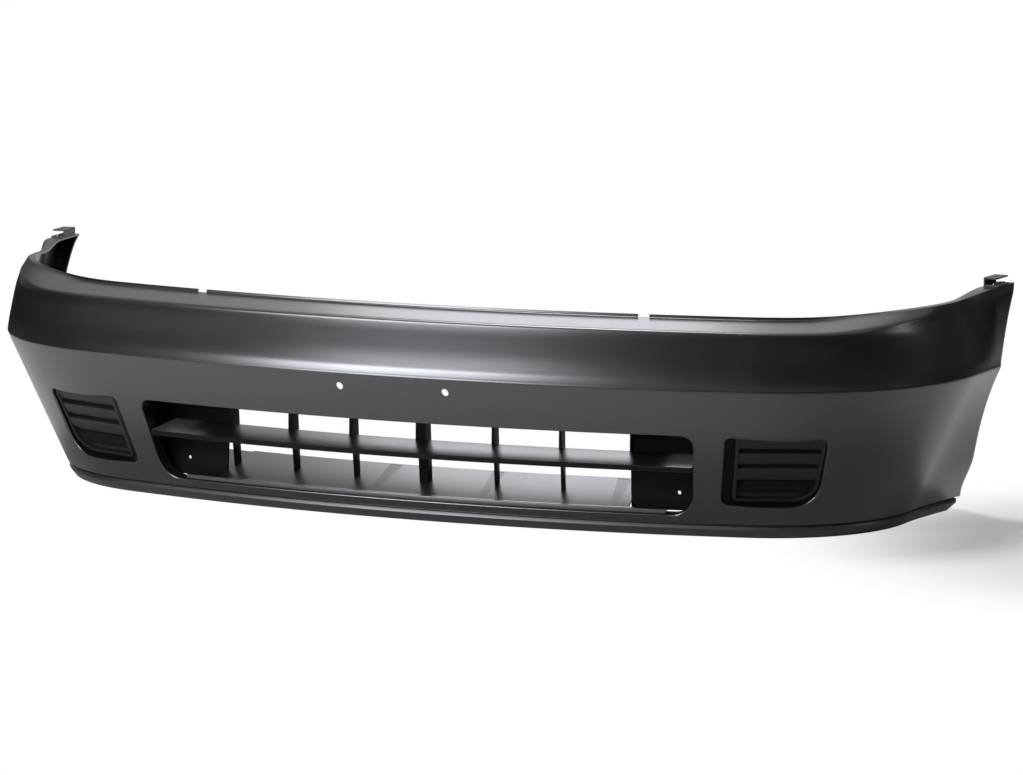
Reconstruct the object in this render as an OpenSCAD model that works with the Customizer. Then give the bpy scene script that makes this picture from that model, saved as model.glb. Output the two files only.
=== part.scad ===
// Front bumper cover of a car: one thin moulded skin with its grille, lamp blanks,
// lower lip, wing brackets and fasteners. Millimetres, front towards minus Y, Z up,
// standing on the lower edge of the lip at Z = 0.

/* [Plan] */
// Radius of the bowed front, at the crease
front_radius = 2420; // [2380:10:2460]
// Half angle of the bowed front
front_angle = 13.4; // [13.2:0.1:13.6]
// Radius of the two corners, at the crease
corner_radius = 367; // [360:1:374]
// Heading of the straight wings
wing_angle = 83.7; // [83:0.1:84.5]
// Length of each wing before the arch is cut
wing_length = 262; // [258:1:266]
// Distance from the foremost crease point back to the frame origin
depth_offset = 291.8; // [291.8:0.1:291.8]

/* [Section] */
// Wall thickness of the skin
wall = 3; // [2.8:0.1:3.4]
// Height of the crease
crease_z = 246; // [244:1:248]
// Height of the lower edge of the skin
skin_bottom_z = 22; // [22:1:22]
// Inset of the lower face per millimetre below the crease, front and corners
lean = 0.45; // [0.44:0.01:0.46]
// The same at the rear end of the wings
lean_wing = 0.33; // [0.32:0.01:0.34]
// How far the lower face of a wing swells out at its rear end
wing_bulge = 30; // [28:1:32]
// Width of the bottom flange that carries the lip
bottom_flange = 30; // [29:1:32]
// Height of the front edge of the top ledge
ledge_front_z = 337; // [336:1:338]
// Height of the rear edge of the top ledge
ledge_rear_z = 346; // [345:1:347]
// Inset of the rear edge of the top ledge
ledge_depth = 89; // [87:1:91]
// Height of the small upstand on the rear edge of the ledge
upstand = 5; // [4:1:6]
// Height of the top of the wings
wing_top_z = 375; // [374:1:376]
// Radius of the wheel arch edge
arch_radius = 250; // [246:1:254]
// Height of the centre of the wheel arch
arch_z = 190; // [189:1:191]
// Foremost point of the arch edge, behind the crease apex
arch_front = 496; // [494:1:498]
// Width of the arch return flange
arch_flange = 27; // [26:1:28]

/* [Openings] */
// Half width of the grille opening at its top
grille_half_top = 472; // [470:1:473]
// Half width of the grille opening at its bottom
grille_half_bottom = 455; // [453:1:456]
// Height of the bottom edge of the grille opening
grille_z0 = 36; // [36:1:36]
// Height of the top edge of the grille opening
grille_z1 = 170; // [170:1:170]
// Depth of the return walls around the grille opening
grille_return = 30; // [29:1:31]
// Diameter of the two number plate holes
plate_hole = 12; // [10:0.5:13]
// Spacing of the two number plate holes
plate_spacing = 178; // [170:1:180]
// Height of the number plate holes
plate_z = 225; // [224:1:226]
// Sideways place of the lamp blank openings
fog_x = 585; // [584:1:586]
// Height of the middle of the lamp blank openings
fog_z = 109; // [108:1:110]
// Width of the lamp blank opening
fog_w = 160; // [158:1:161]
// Height of the lamp blank opening along the face
fog_h = 125; // [123:1:126]
// Depth of the lamp blank recess
fog_depth = 34; // [33:1:35]
// Clearance around a lamp blank in its recess
fog_gap = 0.8; // [0.6:0.1:1]

/* [Grille] */
// Thickness of the thin grille ribs
rib = 4; // [3:0.5:5]
// Width of the middle grille post
post = 16; // [14:1:18]
// Side place of the inner grille ribs
rib_inner = 122; // [120:1:124]
// Side place of the outer grille ribs
rib_outer = 232; // [230:1:234]
// Half width between the two end ribs
rib_end = 345; // [343:1:346]
// Half width of the middle blade
blade_half = 456; // [453:1:457]
// Thickness of the blade and the shelf
blade_t = 4; // [3.5:0.5:4.5]

/* [Fasteners] */
// Radius of the shank of the lip push clips
clip_r = 4; // [3.8:0.1:4.1]
// Radial clearance of the clip shank in its holes
clip_gap = 0.2; // [0.15:0.05:0.3]
// Radius of the centre pin of a push clip
pin_r = 2.5; // [2.4:0.1:2.6]
// Radial clearance of the pin in the clip
pin_gap = 0.05; // [0.04:0.01:0.08]
// Radius of the pegs of the lamp blanks
peg_r = 4; // [3.8:0.1:4.2]
// Radial clearance of a peg in its grommet
peg_gap = 0.06; // [0.04:0.01:0.08]
// Radius of the fender bolt hole of a wing bracket
bracket_hole_r = 4.5; // [4:0.25:5]

/* [Hidden] */

$fn = 48;
// Steps of the skin along the front, a corner and a wing
front_steps = 6;
corner_steps = 14;
wing_steps = 10;
half_steps = front_steps + corner_steps + wing_steps;

// Centre of the corner arc and the end of it
corner_x = (front_radius - corner_radius) * sin(front_angle);
corner_y = front_radius - (front_radius - corner_radius) * cos(front_angle);
wing_x = corner_x + corner_radius * sin(wing_angle);
wing_y = corner_y - corner_radius * cos(wing_angle);

function mix(a, b, t) = a + (b - a) * t;
function clamp(t) = min(1, max(0, t));
function ease(t) = clamp(t) * clamp(t) * (3 - 2 * clamp(t));

// One place along the right half: x, y, heading, share of the wing passed
function on_front(a) = [front_radius * sin(a), front_radius * (1 - cos(a)), a, 0];
function on_corner(a) = [corner_x + corner_radius * sin(a), corner_y - corner_radius * cos(a), a, 0];
function on_wing(s) = [wing_x + s * cos(wing_angle), wing_y + s * sin(wing_angle), wing_angle, s / wing_length];
function place(i) = i <= front_steps ? on_front(front_angle * i / front_steps)
    : i <= front_steps + corner_steps
        ? on_corner(mix(front_angle, wing_angle, (i - front_steps) / corner_steps))
        : on_wing(wing_length * (i - front_steps - corner_steps) / wing_steps);

// A point at inset d and height z of a place, on the right (s = 1) or left (s = -1)
function at(p, s, d, z) = [s * (p[0] - d * sin(p[2])), p[1] + d * cos(p[2]) - depth_offset, z];

// How far a place has turned from ledge to wing, how far it has changed along the wing, and its lean
function turn(p) = ease((p[2] - 30) / 45);
function share(p) = ease(p[3]);
function lean_at(p) = mix(lean, lean_wing, share(p));
function low_inset(p, z) = lean_at(p) * (crease_z - z);

bulge_z = 100;

// Outer line of the upper half: of the front with its ledge, and of the wing with its top flange
front_line = [[4, crease_z + 6], [7, crease_z + 16], [8.5, crease_z + 36], [8.5, crease_z + 60],
    [10.5, ledge_front_z - 15], [15.5, ledge_front_z - 5], [26, ledge_front_z],
    [ledge_depth, ledge_rear_z], [ledge_depth + 1, ledge_rear_z + upstand]];
corner_line = [[1, crease_z + 8], [2.5, crease_z + 20], [6.5, crease_z + 39], [12, crease_z + 62],
    [18, crease_z + 82], [23, crease_z + 96], [26.5, crease_z + 108],
    [30, wing_top_z - 11], [42, wing_top_z - 11]];
wing_line = [[0.5, crease_z + 8], [0.5, crease_z + 20], [0.5, crease_z + 39], [1, crease_z + 62],
    [2, crease_z + 84], [3, crease_z + 102], [4.5, crease_z + 116], [8, wing_top_z], [34, wing_top_z]];
function rise(p) = ease(2.6 * p[3]);
function side_line(p) = [for (i = [0 : len(wing_line) - 1]) mix(corner_line[i], wing_line[i], rise(p))];
function upper_line(p) = let (l = side_line(p))
    [for (i = [0 : len(front_line) - 1]) mix(front_line[i], l[i], turn(p))];
function lower_line(p) = [[low_inset(p, skin_bottom_z) + bottom_flange, skin_bottom_z],
    [low_inset(p, skin_bottom_z), skin_bottom_z],
    [low_inset(p, bulge_z) - wing_bulge * share(p), bulge_z], [0, crease_z]];

// The same line moved to the inner side by the wall thickness
function unit(v) = v / norm(v);
function side(v) = [v[1], -v[0]];
function normal_in(a, b) = side(unit(b - a));
function inner_point(l, i, t) = i == 0 ? l[0] + t * normal_in(l[0], l[1])
    : i == len(l) - 1 ? l[i] + t * normal_in(l[i - 1], l[i])
    : let (n = normal_in(l[i - 1], l[i]), m = normal_in(l[i], l[i + 1]))
        l[i] + t * (n + m) / (1 + n * m);
function shell_loop(l, t) = concat(l, [for (i = [len(l) - 1 : -1 : 0]) inner_point(l, i, t)]);

// A closed loop of inset and height per place, joined into one body across both halves
function back(l) = [for (i = [len(l) - 1 : -1 : 0]) l[i]];
function skin_loop(p) = back(shell_loop(concat(lower_line(p), upper_line(p)), wall));
function lip_loop(p) = let (b = low_inset(p, skin_bottom_z))
    [[b + 2, 19], [b + 12, 0], [b + 17, 0], [b + 11, 18], [b + 30, 18], [b + 30, 22], [b + 8, 22], [b + 8, 19]];
function face_loop(p, a, b) = let (l = low_inset(p, skin_bottom_z))
    [[l + a, skin_bottom_z], [l + b, skin_bottom_z], [b, crease_z], [a, crease_z]];
function rim_loop(p) = let (l = low_inset(p, skin_bottom_z + 1.5), b = arch_flange, u = side_line(p),
    m = low_inset(p, bulge_z) - wing_bulge * share(p))
    back([[l + 1.5, skin_bottom_z + 1.5], [m + 1.5, bulge_z], [1.5, crease_z], u[3] + [1.5, 0], u[5] + [1.5, 0],
        u[7] + [1.5, -1.5], u[7] + [b - 2, -1.5], u[5] + [b, 0], u[3] + [b, 0],
        [b, crease_z], [m + b, bulge_z], [l + b, skin_bottom_z + 1.5]]);

module join(rows) {
    n = len(rows);
    m = len(rows[0]);
    points = [for (r = rows) each r];
    sides = [for (i = [0 : n - 2], j = [0 : m - 1])
        let (a = i * m + j, b = i * m + (j + 1) % m) each [[a, b + m, b], [a, a + m, b + m]]];
    ends = [[for (j = [0 : m - 1]) j], [for (j = [m - 1 : -1 : 0]) (n - 1) * m + j]];
    polyhedron(points, concat(sides, ends));
}
function row(p, s, loop) = [for (q = loop) at(p, s, q[0], q[1])];
module skin_shell() {
    join([for (i = [-half_steps : half_steps])
        let (p = place(abs(i)), s = i < 0 ? -1 : 1) row(p, s, skin_loop(p))]);
}
module lip_shell() {
    join([for (i = [-half_steps : half_steps])
        let (p = place(abs(i)), s = i < 0 ? -1 : 1) row(p, s, lip_loop(p))]);
}
// The space behind the lower face between the insets a and b
module behind_face(a, b) {
    last = front_steps + corner_steps - 3;
    join([for (i = [-last : last])
        let (p = place(abs(i)), s = i < 0 ? -1 : 1) row(p, s, face_loop(p, a, b))]);
}
// The space inside the right wing that its arch flange fills
module behind_wing() {
    join([for (i = [front_steps + corner_steps - 2 : half_steps])
        let (p = place(i)) row(p, 1, rim_loop(p))]);
}
module both_sides() {
    children();
    mirror([1, 0, 0]) children();
}
module arch(r) {
    translate([0, arch_front + arch_radius - depth_offset, arch_z])
        rotate([0, 90, 0])
            cylinder(h = 2000, r = r, center = true, $fn = 120);
}

// A convex outline with each corner rounded, moved outwards by e
function edge_shift(a, b, e) = let (u = unit(b - a)) [a + e * [u[1], -u[0]], u];
function cross2(a, b) = a[0] * b[1] - a[1] * b[0];
function meet(l, m) = l[0] + l[1] * cross2(m[0] - l[0], m[1]) / cross2(l[1], m[1]);
function grow(q, e) = let (n = len(q)) [for (i = [0 : n - 1])
    meet(edge_shift(q[(i + n - 1) % n], q[i], e), edge_shift(q[i], q[(i + 1) % n], e))];
function arc_at(a, b, c, r, n) = let (u = unit(a - b), v = unit(c - b), k = acos(u * v) / 2,
    o = b + unit(u + v) * r / sin(k), f = b + u * r / tan(k) - o, w = 180 - 2 * k)
    [for (i = [0 : n]) let (t = w * i / n) o + [f[0] * cos(t) - f[1] * sin(t), f[0] * sin(t) + f[1] * cos(t)]];
function rounded(q, r, n) = let (m = len(q)) [for (i = [0 : m - 1])
    each arc_at(q[(i + m - 1) % m], q[i], q[(i + 1) % m], r[i], n)];

grille_corners = [[-grille_half_bottom, grille_z0], [grille_half_bottom, grille_z0],
    [grille_half_top, grille_z1], [-grille_half_top, grille_z1]];
module grille_outline(e) {
    polygon(rounded(grow(grille_corners, e), [40 + e, 40 + e, 16 + e, 16 + e], 5));
}
module grille_cut(e) {
    translate([0, 260 - depth_offset, 0])
        rotate([90, 0, 0])
            linear_extrude(260 + depth_offset)
                grille_outline(e);
}

// Frame of the right lamp blank: X along the face, Y inwards, Z up the leaning face
fog_inset = lean * (crease_z - fog_z);
fog_turn = asin((fog_x - corner_x) / (corner_radius - fog_inset));
fog_tilt = atan(lean);
module fog_frame() {
    translate([fog_x, corner_y - (corner_radius - fog_inset) * cos(fog_turn) - depth_offset, fog_z])
        rotate([0, 0, fog_turn])
            rotate([fog_tilt, 0, 0])
                children();
}
fog_corners = [[-fog_w / 2 + 3, -fog_h / 2], [fog_w / 2 - 8, -fog_h / 2],
    [fog_w / 2 + 5, fog_h / 2 - 3], [-fog_w / 2 + 5, fog_h / 2]];
module fog_outline(e) {
    polygon(rounded(grow(fog_corners, e), [for (r = [12, 42, 14, 9]) max(2, r + e)], 4));
}
// The blank itself is narrower: the inner wall of its recess slopes
fog_slope = 16;
blank_corners = [fog_corners[0] + [fog_slope, 0], fog_corners[1], fog_corners[2],
    fog_corners[3] + [fog_slope, 0]];
module blank_outline(e) {
    polygon(rounded(grow(blank_corners, e), [for (r = [12, 42, 14, 9]) max(2, r + e)], 4));
}
// A layer of either outline between two depths behind the face
module layer(y0, y1) {
    translate([0, y1, 0])
        rotate([90, 0, 0])
            linear_extrude(y1 - y0)
                children();
}
module fog_layer(e, y0, y1) {
    layer(y0, y1) fog_outline(e);
}
module blank_layer(e, y0, y1) {
    layer(y0, y1) blank_outline(e);
}
blank_front = 15;
slope_start = 3;
// The whole recess from the opening's outline down to the blank's
module fog_taper(e, y0, y1) {
    fog_layer(e, y0, slope_start);
    hull() {
        fog_layer(e, slope_start - 0.1, slope_start);
        blank_layer(e, blank_front - 0.1, blank_front);
    }
    blank_layer(e, blank_front - 0.1, y1);
}
// Where the two pegs of a lamp blank sit
peg_places = [[fog_slope - 58, 22], [61, 22]];
grommet_r = 7;

// Where the four lip clips sit, from left to right
clip_x = [-600, -340, 340, 600];
clip_inset = lean * (crease_z - skin_bottom_z) + 23;
function clip_place(x) = abs(x) < front_radius * sin(front_angle) - 30
    ? [x, front_radius - sqrt(pow(front_radius - clip_inset, 2) - x * x) - depth_offset]
    : [x, corner_y - sqrt(pow(corner_radius - clip_inset, 2) - pow(abs(x) - corner_x, 2)) - depth_offset];

// Screws of the grille rail and rivets of the brackets
screw_x = [-380, -190, 190, 380];
screw_inset = 55;
function rail_place(x) = [x, front_radius - sqrt(pow(front_radius - screw_inset, 2) - x * x) - depth_offset];
bracket_mid = 145;
bracket_half = 26;
bracket_t = 2.5;
bracket_h = 14;
rivet_places = [[-18, 10], [18, 10]];
bolt_place = [0, 13];
access_r = 8;

// Arch nuts, by angle around the arch above its centre
nut_angles = [20, -22];

// Place of the right wing surface at a depth y behind the apex and an inset d
function wing_at(y, d) = wing_x - d * sin(wing_angle)
    + (y - wing_y - d * cos(wing_angle)) * cos(wing_angle) / sin(wing_angle);
function wing_inset(z) = z > crease_z ? 3 : mix(lean, lean_wing, 0.5) * (crease_z - z)
    - wing_bulge / 2
        * min((crease_z - z) / (crease_z - bulge_z), (z - skin_bottom_z) / (bulge_z - skin_bottom_z));

module nut_frame(a) {
    y = arch_front + arch_radius - (arch_radius + wall / 2) * cos(a);
    z = arch_z + (arch_radius + wall / 2) * sin(a);
    translate([wing_at(y, wing_inset(z) + arch_flange - 10), y - depth_offset, z])
        rotate([-a, 0, 0])
            children();
}

// One fog recess: walls and a rear seat, trimmed to stay behind the face
module fog_recess() {
    intersection() {
        behind_face(1.2, 200);
        fog_frame()
            difference() {
                fog_taper(2.5, -20, fog_depth);
                fog_taper(0, -30, fog_depth - 3);
                blank_layer(-14, fog_depth - 4, fog_depth + 1);
            }
    }
    fog_frame()
        for (q = peg_places)
            translate([q[0], fog_depth - 3, q[1]])
                rotate([-90, 0, 0])
                    cylinder(h = 3, r = 14, $fn = 24);
}
module peg_holes(r) {
    fog_frame()
        for (q = peg_places)
            translate([q[0], 0, q[1]])
                rotate([-90, 17, 0])
                    cylinder(h = 60, r = r);
}

// The moulded shell before its round holes are drilled
module skin_body() {
    difference() {
        union() {
            difference() {
                skin_shell();
                both_sides()
                    fog_frame()
                        fog_layer(0.2, -60, 30);
                grille_cut(0.2);
            }
            intersection() {
                behind_face(1.2, grille_return);
                difference() {
                    grille_cut(wall);
                    grille_cut(0);
                }
            }
            both_sides()
                fog_recess();
            both_sides()
                intersection() {
                    behind_wing();
                    arch(arch_radius + wall);
                }
        }
        arch(arch_radius);
        for (s = [-1, 1])
            translate([s * 375, 60 - depth_offset, ledge_rear_z + 12])
                cube([16, 200, 20], center = true);
    }
}

module bumper_skin() {
    color([0.09, 0.09, 0.1])
        difference() {
            resize([0, 0, 0])
                skin_body();
            for (s = [-1, 1])
                translate([s * plate_spacing / 2, -depth_offset - 20, plate_z])
                    rotate([-90, 0, 0])
                        cylinder(h = 60, r = plate_hole / 2);
            for (x = clip_x)
                translate(concat(clip_place(x), [skin_bottom_z - 5]))
                    cylinder(h = 20, r = clip_r + clip_gap);
            for (x = screw_x)
                translate(concat(rail_place(x), [grille_z1 - 5]))
                    cylinder(h = 20, r = 2.6);
            both_sides()
                peg_holes(grommet_r);
            both_sides()
                bracket_frame() {
                    for (q = rivet_places)
                        translate([q[0], q[1], -10])
                            cylinder(h = 20, r = 2.55);
                    translate(concat(bolt_place, [-10]))
                        cylinder(h = 20, r = access_r);
                }
            both_sides()
                for (a = nut_angles)
                    nut_frame(a)
                        rotate([90, 0, 0])
                            cylinder(h = 20, r = 3.5, center = true);
        }
}

// Side view of what is cut off behind the slanted ends of the lip
lip_end = [[800, -10], [528, -10], [538, 0], [552, 16], [556, 30], [800, 30]];
module lower_lip() {
    color([0.12, 0.12, 0.13])
        difference() {
            lip_shell();
            translate([0, -depth_offset, 0])
                rotate([90, 0, 90])
                    linear_extrude(2000, center = true)
                        polygon(lip_end);
            for (x = clip_x)
                translate(concat(clip_place(x), [5]))
                    cylinder(h = 30, r = clip_r + clip_gap);
        }
}

// Push clips through the lip and the skin flange, with a head below
clip_head_z = 15.5;
clip_top_z = 31;
module lip_clips() {
    color([0.05, 0.05, 0.05])
        for (x = clip_x)
            translate(clip_place(x))
                difference() {
                    union() {
                        translate([0, 0, clip_head_z])
                            cylinder(h = 18 - clip_head_z, r = 7);
                        translate([0, 0, clip_head_z])
                            cylinder(h = clip_top_z - clip_head_z, r = clip_r);
                        translate([0, 0, skin_bottom_z + wall])
                            cylinder(h = clip_top_z - skin_bottom_z - wall, r1 = clip_r + 1.2, r2 = clip_r);
                    }
                    translate([0, 0, clip_head_z - 5])
                        cylinder(h = 40, r = pin_r + pin_gap);
                }
}
module lip_pin(i) {
    color([0.16, 0.16, 0.17])
        translate(clip_place(clip_x[i])) {
            translate([0, 0, clip_head_z - 3])
                cylinder(h = 3, r = 5.5);
            translate([0, 0, clip_head_z - 1])
                cylinder(h = 14.5, r = pin_r);
        }
}
module lip_pin_1() {
    lip_pin(0);
}
module lip_pin_2() {
    lip_pin(1);
}
module lip_pin_3() {
    lip_pin(2);
}
module lip_pin_4() {
    lip_pin(3);
}

// A profile of inset and height swept along the bowed front over a half width
module bow(half, profile) {
    a = asin(half / (front_radius - 100));
    translate([0, front_radius - depth_offset, 0])
        rotate([0, 0, -90 - a])
            rotate_extrude(angle = 2 * a, $fn = 720)
                polygon([for (q = profile) [front_radius - q[0], q[1]]]);
}
blade_front = [62, 117];
blade_rear = [133, 128];
shelf_front = [101, 42];
shelf_rear = [210, 71.7];
rail_z = grille_z1 + wall;
rail_half = 404;
// A point a share of the way up the shelf, below its top by t
function on_shelf(k, t) = mix(shelf_front, shelf_rear, k) - [0, t];
// Y of the bowed front at an inset, a distance x from the middle
function bowed(x, d) = front_radius - sqrt(pow(front_radius - d, 2) - x * x) - depth_offset;
// An upright rib across the depth of the grille, at a side place
module grille_rib(x, w) {
    a = asin(x / (front_radius - 140));
    translate([0, front_radius - depth_offset, 0])
        rotate([0, 0, a])
            translate([-w / 2, -front_radius, 0])
                rotate([90, 0, 90])
                    linear_extrude(w)
                        polygon([blade_rear - [2, 3], [131, rail_z + 1], [156, rail_z + 1],
                            on_shelf(0.6, 2), on_shelf(0.45, 2), [142, 112]]);
}
module grille_insert() {
    color([0.06, 0.06, 0.065])
        difference() {
            union() {
                bow(rail_half, [[46, rail_z], [166, rail_z], [166, rail_z + 3], [46, rail_z + 3]]);
                bow(blade_half, [blade_front, blade_rear, blade_rear - [0, blade_t],
                    [70, 114], [67, 109], [62, 109]]);
                bow(rib_end + 8, [shelf_front, shelf_rear, on_shelf(1, blade_t), on_shelf(0, blade_t)]);
                bow(rail_half, [on_shelf(0.32, 0.4), on_shelf(0.98, 0.4), on_shelf(0.98, blade_t - 0.4),
                    on_shelf(0.32, blade_t - 0.4)]);
                bow(grille_half_bottom - 43, [[99, grille_z0], [121, grille_z0], [121, grille_z0 + 3],
                    [104, grille_z0 + 8], [99, grille_z0 + 7]]);
                for (x = [rib_inner, rib_outer, rib_end], s = [-1, 1])
                    grille_rib(s * x, rib);
                grille_rib(0, post);
            }
            for (x = screw_x)
                translate(concat(rail_place(x), [rail_z - 5]))
                    cylinder(h = 20, r = 2.6);
            for (x = [-72, 106, 312])
                translate([x, bowed(x, shelf_rear[0] - 7), shelf_rear[1]])
                    cube([18, 4, 20], center = true);
        }
}

// Closed end of the grille: a leaning panel with an outer wall and two low ribs
blank_out = 466;
blank_gap = 0.3;
blank_line = [[141, rail_z - blank_gap], [137, rail_z - blank_gap], [135.8, 153], [133.2, 152],
    [135.4, 147], [132.8, 101], [130.2, 100], [132.4, 95], [129, grille_z0 + 1], [133, grille_z0 + 1]];
module grille_blank() {
    a0 = asin(rib_end / (front_radius - 140)) + atan((rib / 2 + blank_gap) / (front_radius - 148));
    a1 = asin(blank_out / (front_radius - 148));
    difference() {
        translate([0, front_radius - depth_offset, 0]) {
            rotate([0, 0, -90 + a0])
                rotate_extrude(angle = a1 - a0, $fn = 720)
                    polygon([for (q = blank_line) [front_radius - q[0], q[1]]]);
            rotate([0, 0, a1])
                translate([-3, -front_radius, 0])
                    rotate([90, 0, 90])
                        linear_extrude(3)
                            polygon([[66, 168], [138, 168], [131, 42], [124.3, 42]]);
        }
        translate([423, -20, 65])
            rotate([-90, 0, 0])
                translate([0, 0, -200])
                    cylinder(h = 500, r = 3);
    }
}
module grille_blank_left() {
    color([0.05, 0.05, 0.055])
        mirror([1, 0, 0])
            grille_blank();
}
module grille_blank_right() {
    color([0.05, 0.05, 0.055])
        grille_blank();
}
module grille_screws() {
    color([0.3, 0.3, 0.32])
        for (x = screw_x)
            translate(concat(rail_place(x), [0])) {
                translate([0, 0, rail_z + 3])
                    cylinder(h = 3, r = 5);
                translate([0, 0, rail_z - wall + 0.5])
                    cylinder(h = wall + 3.5, r = 2.5);
            }
}

// A lamp blank: a plate with a rim, four slats and two pegs behind
slat_top = 43;
slat_pitch = 27.5;
module fog_cover() {
    fog_frame() {
        difference() {
            blank_layer(-fog_gap, blank_front, fog_depth - 3);
            blank_layer(-fog_gap - 6, blank_front - 1, fog_depth - 10);
            blank_layer(-fog_gap - 3, fog_depth - 6, fog_depth);
        }
        intersection() {
            blank_layer(-fog_gap - 5, blank_front, fog_depth - 8);
            for (i = [0 : 3])
                translate([-100, 0, slat_top - slat_pitch * i])
                    rotate([90, 0, 90])
                        linear_extrude(200)
                            polygon([[blank_front + 2, -8], [blank_front + 1, 13],
                                [fog_depth - 9, 15], [fog_depth - 9, -8]]);
        }
        for (q = peg_places)
            translate([q[0], fog_depth - 8, q[1]])
                rotate([-90, 0, 0])
                    cylinder(h = 18, r = peg_r);
    }
}
module fog_cover_left() {
    color([0.05, 0.05, 0.055])
        mirror([1, 0, 0])
            fog_cover();
}
module fog_cover_right() {
    color([0.05, 0.05, 0.055])
        fog_cover();
}
// Grommets that hold the pegs in the rear seat
module fog_grommets() {
    fog_frame()
        for (q = peg_places)
            translate([q[0], 0, q[1]])
                rotate([-90, 0, 0])
                    difference() {
                        union() {
                            translate([0, 0, fog_depth - 3])
                                cylinder(h = 8, r = grommet_r - 0.05);
                            translate([0, 0, fog_depth])
                                cylinder(h = 2.5, r = grommet_r + 2.5);
                        }
                        translate([0, 0, fog_depth - 10])
                            cylinder(h = 30, r = peg_r + peg_gap);
                    }
}
module fog_grommets_left() {
    color([0.02, 0.02, 0.02])
        mirror([1, 0, 0])
            fog_grommets();
}
module fog_grommets_right() {
    color([0.02, 0.02, 0.02])
        fog_grommets();
}

// Frame on the right wing flange: X along the wing, Y inwards, Z up from the flange
module bracket_frame() {
    p = on_wing(bracket_mid);
    translate(at(p, 1, side_line(p)[7][0], wing_top_z))
        rotate([0, 0, wing_angle])
            children();
}
module wing_bracket() {
    bracket_frame()
        difference() {
            translate([-bracket_half, 0, 0])
                rotate([90, 0, 90])
                    linear_extrude(2 * bracket_half)
                        polygon([[0.5, 0], [25.5, 0], [25.5, bracket_h], [3.5, bracket_h],
                            [3.5, bracket_h - bracket_t], [23, bracket_h - bracket_t],
                            [23, bracket_t], [0.5, bracket_t]]);
            for (q = rivet_places)
                translate([q[0], q[1], -5])
                    cylinder(h = 5 + bracket_h / 2, r = 2.55);
            translate(concat(bolt_place, [bracket_h / 2]))
                cylinder(h = 20, r = bracket_hole_r);
            translate(concat(bolt_place, [-5]))
                cylinder(h = 5 + bracket_h / 2, r = access_r);
        }
}
module wing_bracket_left() {
    color([0.13, 0.13, 0.14])
        mirror([1, 0, 0])
            wing_bracket();
}
module wing_bracket_right() {
    color([0.13, 0.13, 0.14])
        wing_bracket();
}
module bracket_rivets() {
    bracket_frame()
        for (q = rivet_places)
            translate([q[0], q[1], 0]) {
                translate([0, 0, bracket_t])
                    cylinder(h = 1.6, r = 4.5);
                translate([0, 0, -wall - 1.5])
                    cylinder(h = wall + bracket_t + 2, r = 2.5);
                translate([0, 0, -wall - 2])
                    cylinder(h = 2, r = 3.8);
            }
}
module bracket_rivets_left() {
    color([0.6, 0.6, 0.62])
        mirror([1, 0, 0])
            bracket_rivets();
}
module bracket_rivets_right() {
    color([0.6, 0.6, 0.62])
        bracket_rivets();
}

// Sheet nuts clipped over the arch flange, threaded barrel on the front side
module arch_nuts() {
    for (a = nut_angles)
        nut_frame(a)
            difference() {
                union() {
                    translate([-17.5, -wall / 2 - 1.6, -8])
                        cube([24.5, 1.2, 16]);
                    translate([-17.5, wall / 2 + 0.4, -8])
                        cube([24.5, 1.2, 16]);
                    translate([-17.5, -wall / 2 - 1.6, -8])
                        cube([1.2, wall + 3.2, 16]);
                    translate([0, -wall / 2 - 1, 0])
                        rotate([90, 0, 0])
                            cylinder(h = 6, r = 5);
                }
                rotate([90, 0, 0])
                    cylinder(h = 20, r = 2.5);
                rotate([-90, 0, 0])
                    cylinder(h = 20, r = 3.5);
            }
}
module arch_nuts_left() {
    color([0.35, 0.35, 0.37])
        mirror([1, 0, 0])
            arch_nuts();
}
module arch_nuts_right() {
    color([0.35, 0.35, 0.37])
        arch_nuts();
}

bumper_skin();
lower_lip();
lip_clips();
lip_pin_1();
lip_pin_2();
lip_pin_3();
lip_pin_4();
grille_insert();
grille_blank_left();
grille_blank_right();
grille_screws();
fog_cover_left();
fog_cover_right();
fog_grommets_left();
fog_grommets_right();
wing_bracket_left();
wing_bracket_right();
bracket_rivets_left();
bracket_rivets_right();
arch_nuts_left();
arch_nuts_right();
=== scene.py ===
"""Looks of a moulded front bumper cover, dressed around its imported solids.

All sizes are in metres, in the frame of the solids: the front faces minus Y,
X runs along the width, Z is up, and the lower edge of the lip stands at Z = 0.
An inset is a distance inwards from the plan of the crease.
"""

import logging
import math
from dataclasses import dataclass
from enum import Enum, IntEnum
from functools import cached_property
from typing import Callable, Iterable, Sequence

import bmesh
import bpy
from bmesh.types import BMEdge, BMesh, BMFace, BMVert
from bpy.types import Material, Mesh, Node, NodeSocket, NodeTree, Object
from mathutils import Matrix, Vector


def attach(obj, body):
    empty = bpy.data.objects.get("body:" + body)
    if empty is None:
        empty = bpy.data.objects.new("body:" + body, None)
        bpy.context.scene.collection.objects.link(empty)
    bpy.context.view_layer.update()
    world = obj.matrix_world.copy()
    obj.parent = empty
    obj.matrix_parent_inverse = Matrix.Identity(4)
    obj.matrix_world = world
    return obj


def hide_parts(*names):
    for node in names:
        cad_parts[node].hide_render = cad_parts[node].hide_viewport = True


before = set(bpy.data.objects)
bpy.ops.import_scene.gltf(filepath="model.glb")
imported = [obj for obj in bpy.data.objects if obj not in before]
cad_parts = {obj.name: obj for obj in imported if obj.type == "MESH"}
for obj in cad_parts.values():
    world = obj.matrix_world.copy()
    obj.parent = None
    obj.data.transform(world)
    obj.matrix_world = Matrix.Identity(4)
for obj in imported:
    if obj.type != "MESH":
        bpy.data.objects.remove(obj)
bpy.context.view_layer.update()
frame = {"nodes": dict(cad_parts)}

LOG = logging.getLogger("bumper_cover")
Pair = tuple[float, float]
Triple = tuple[float, float, float]

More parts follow.
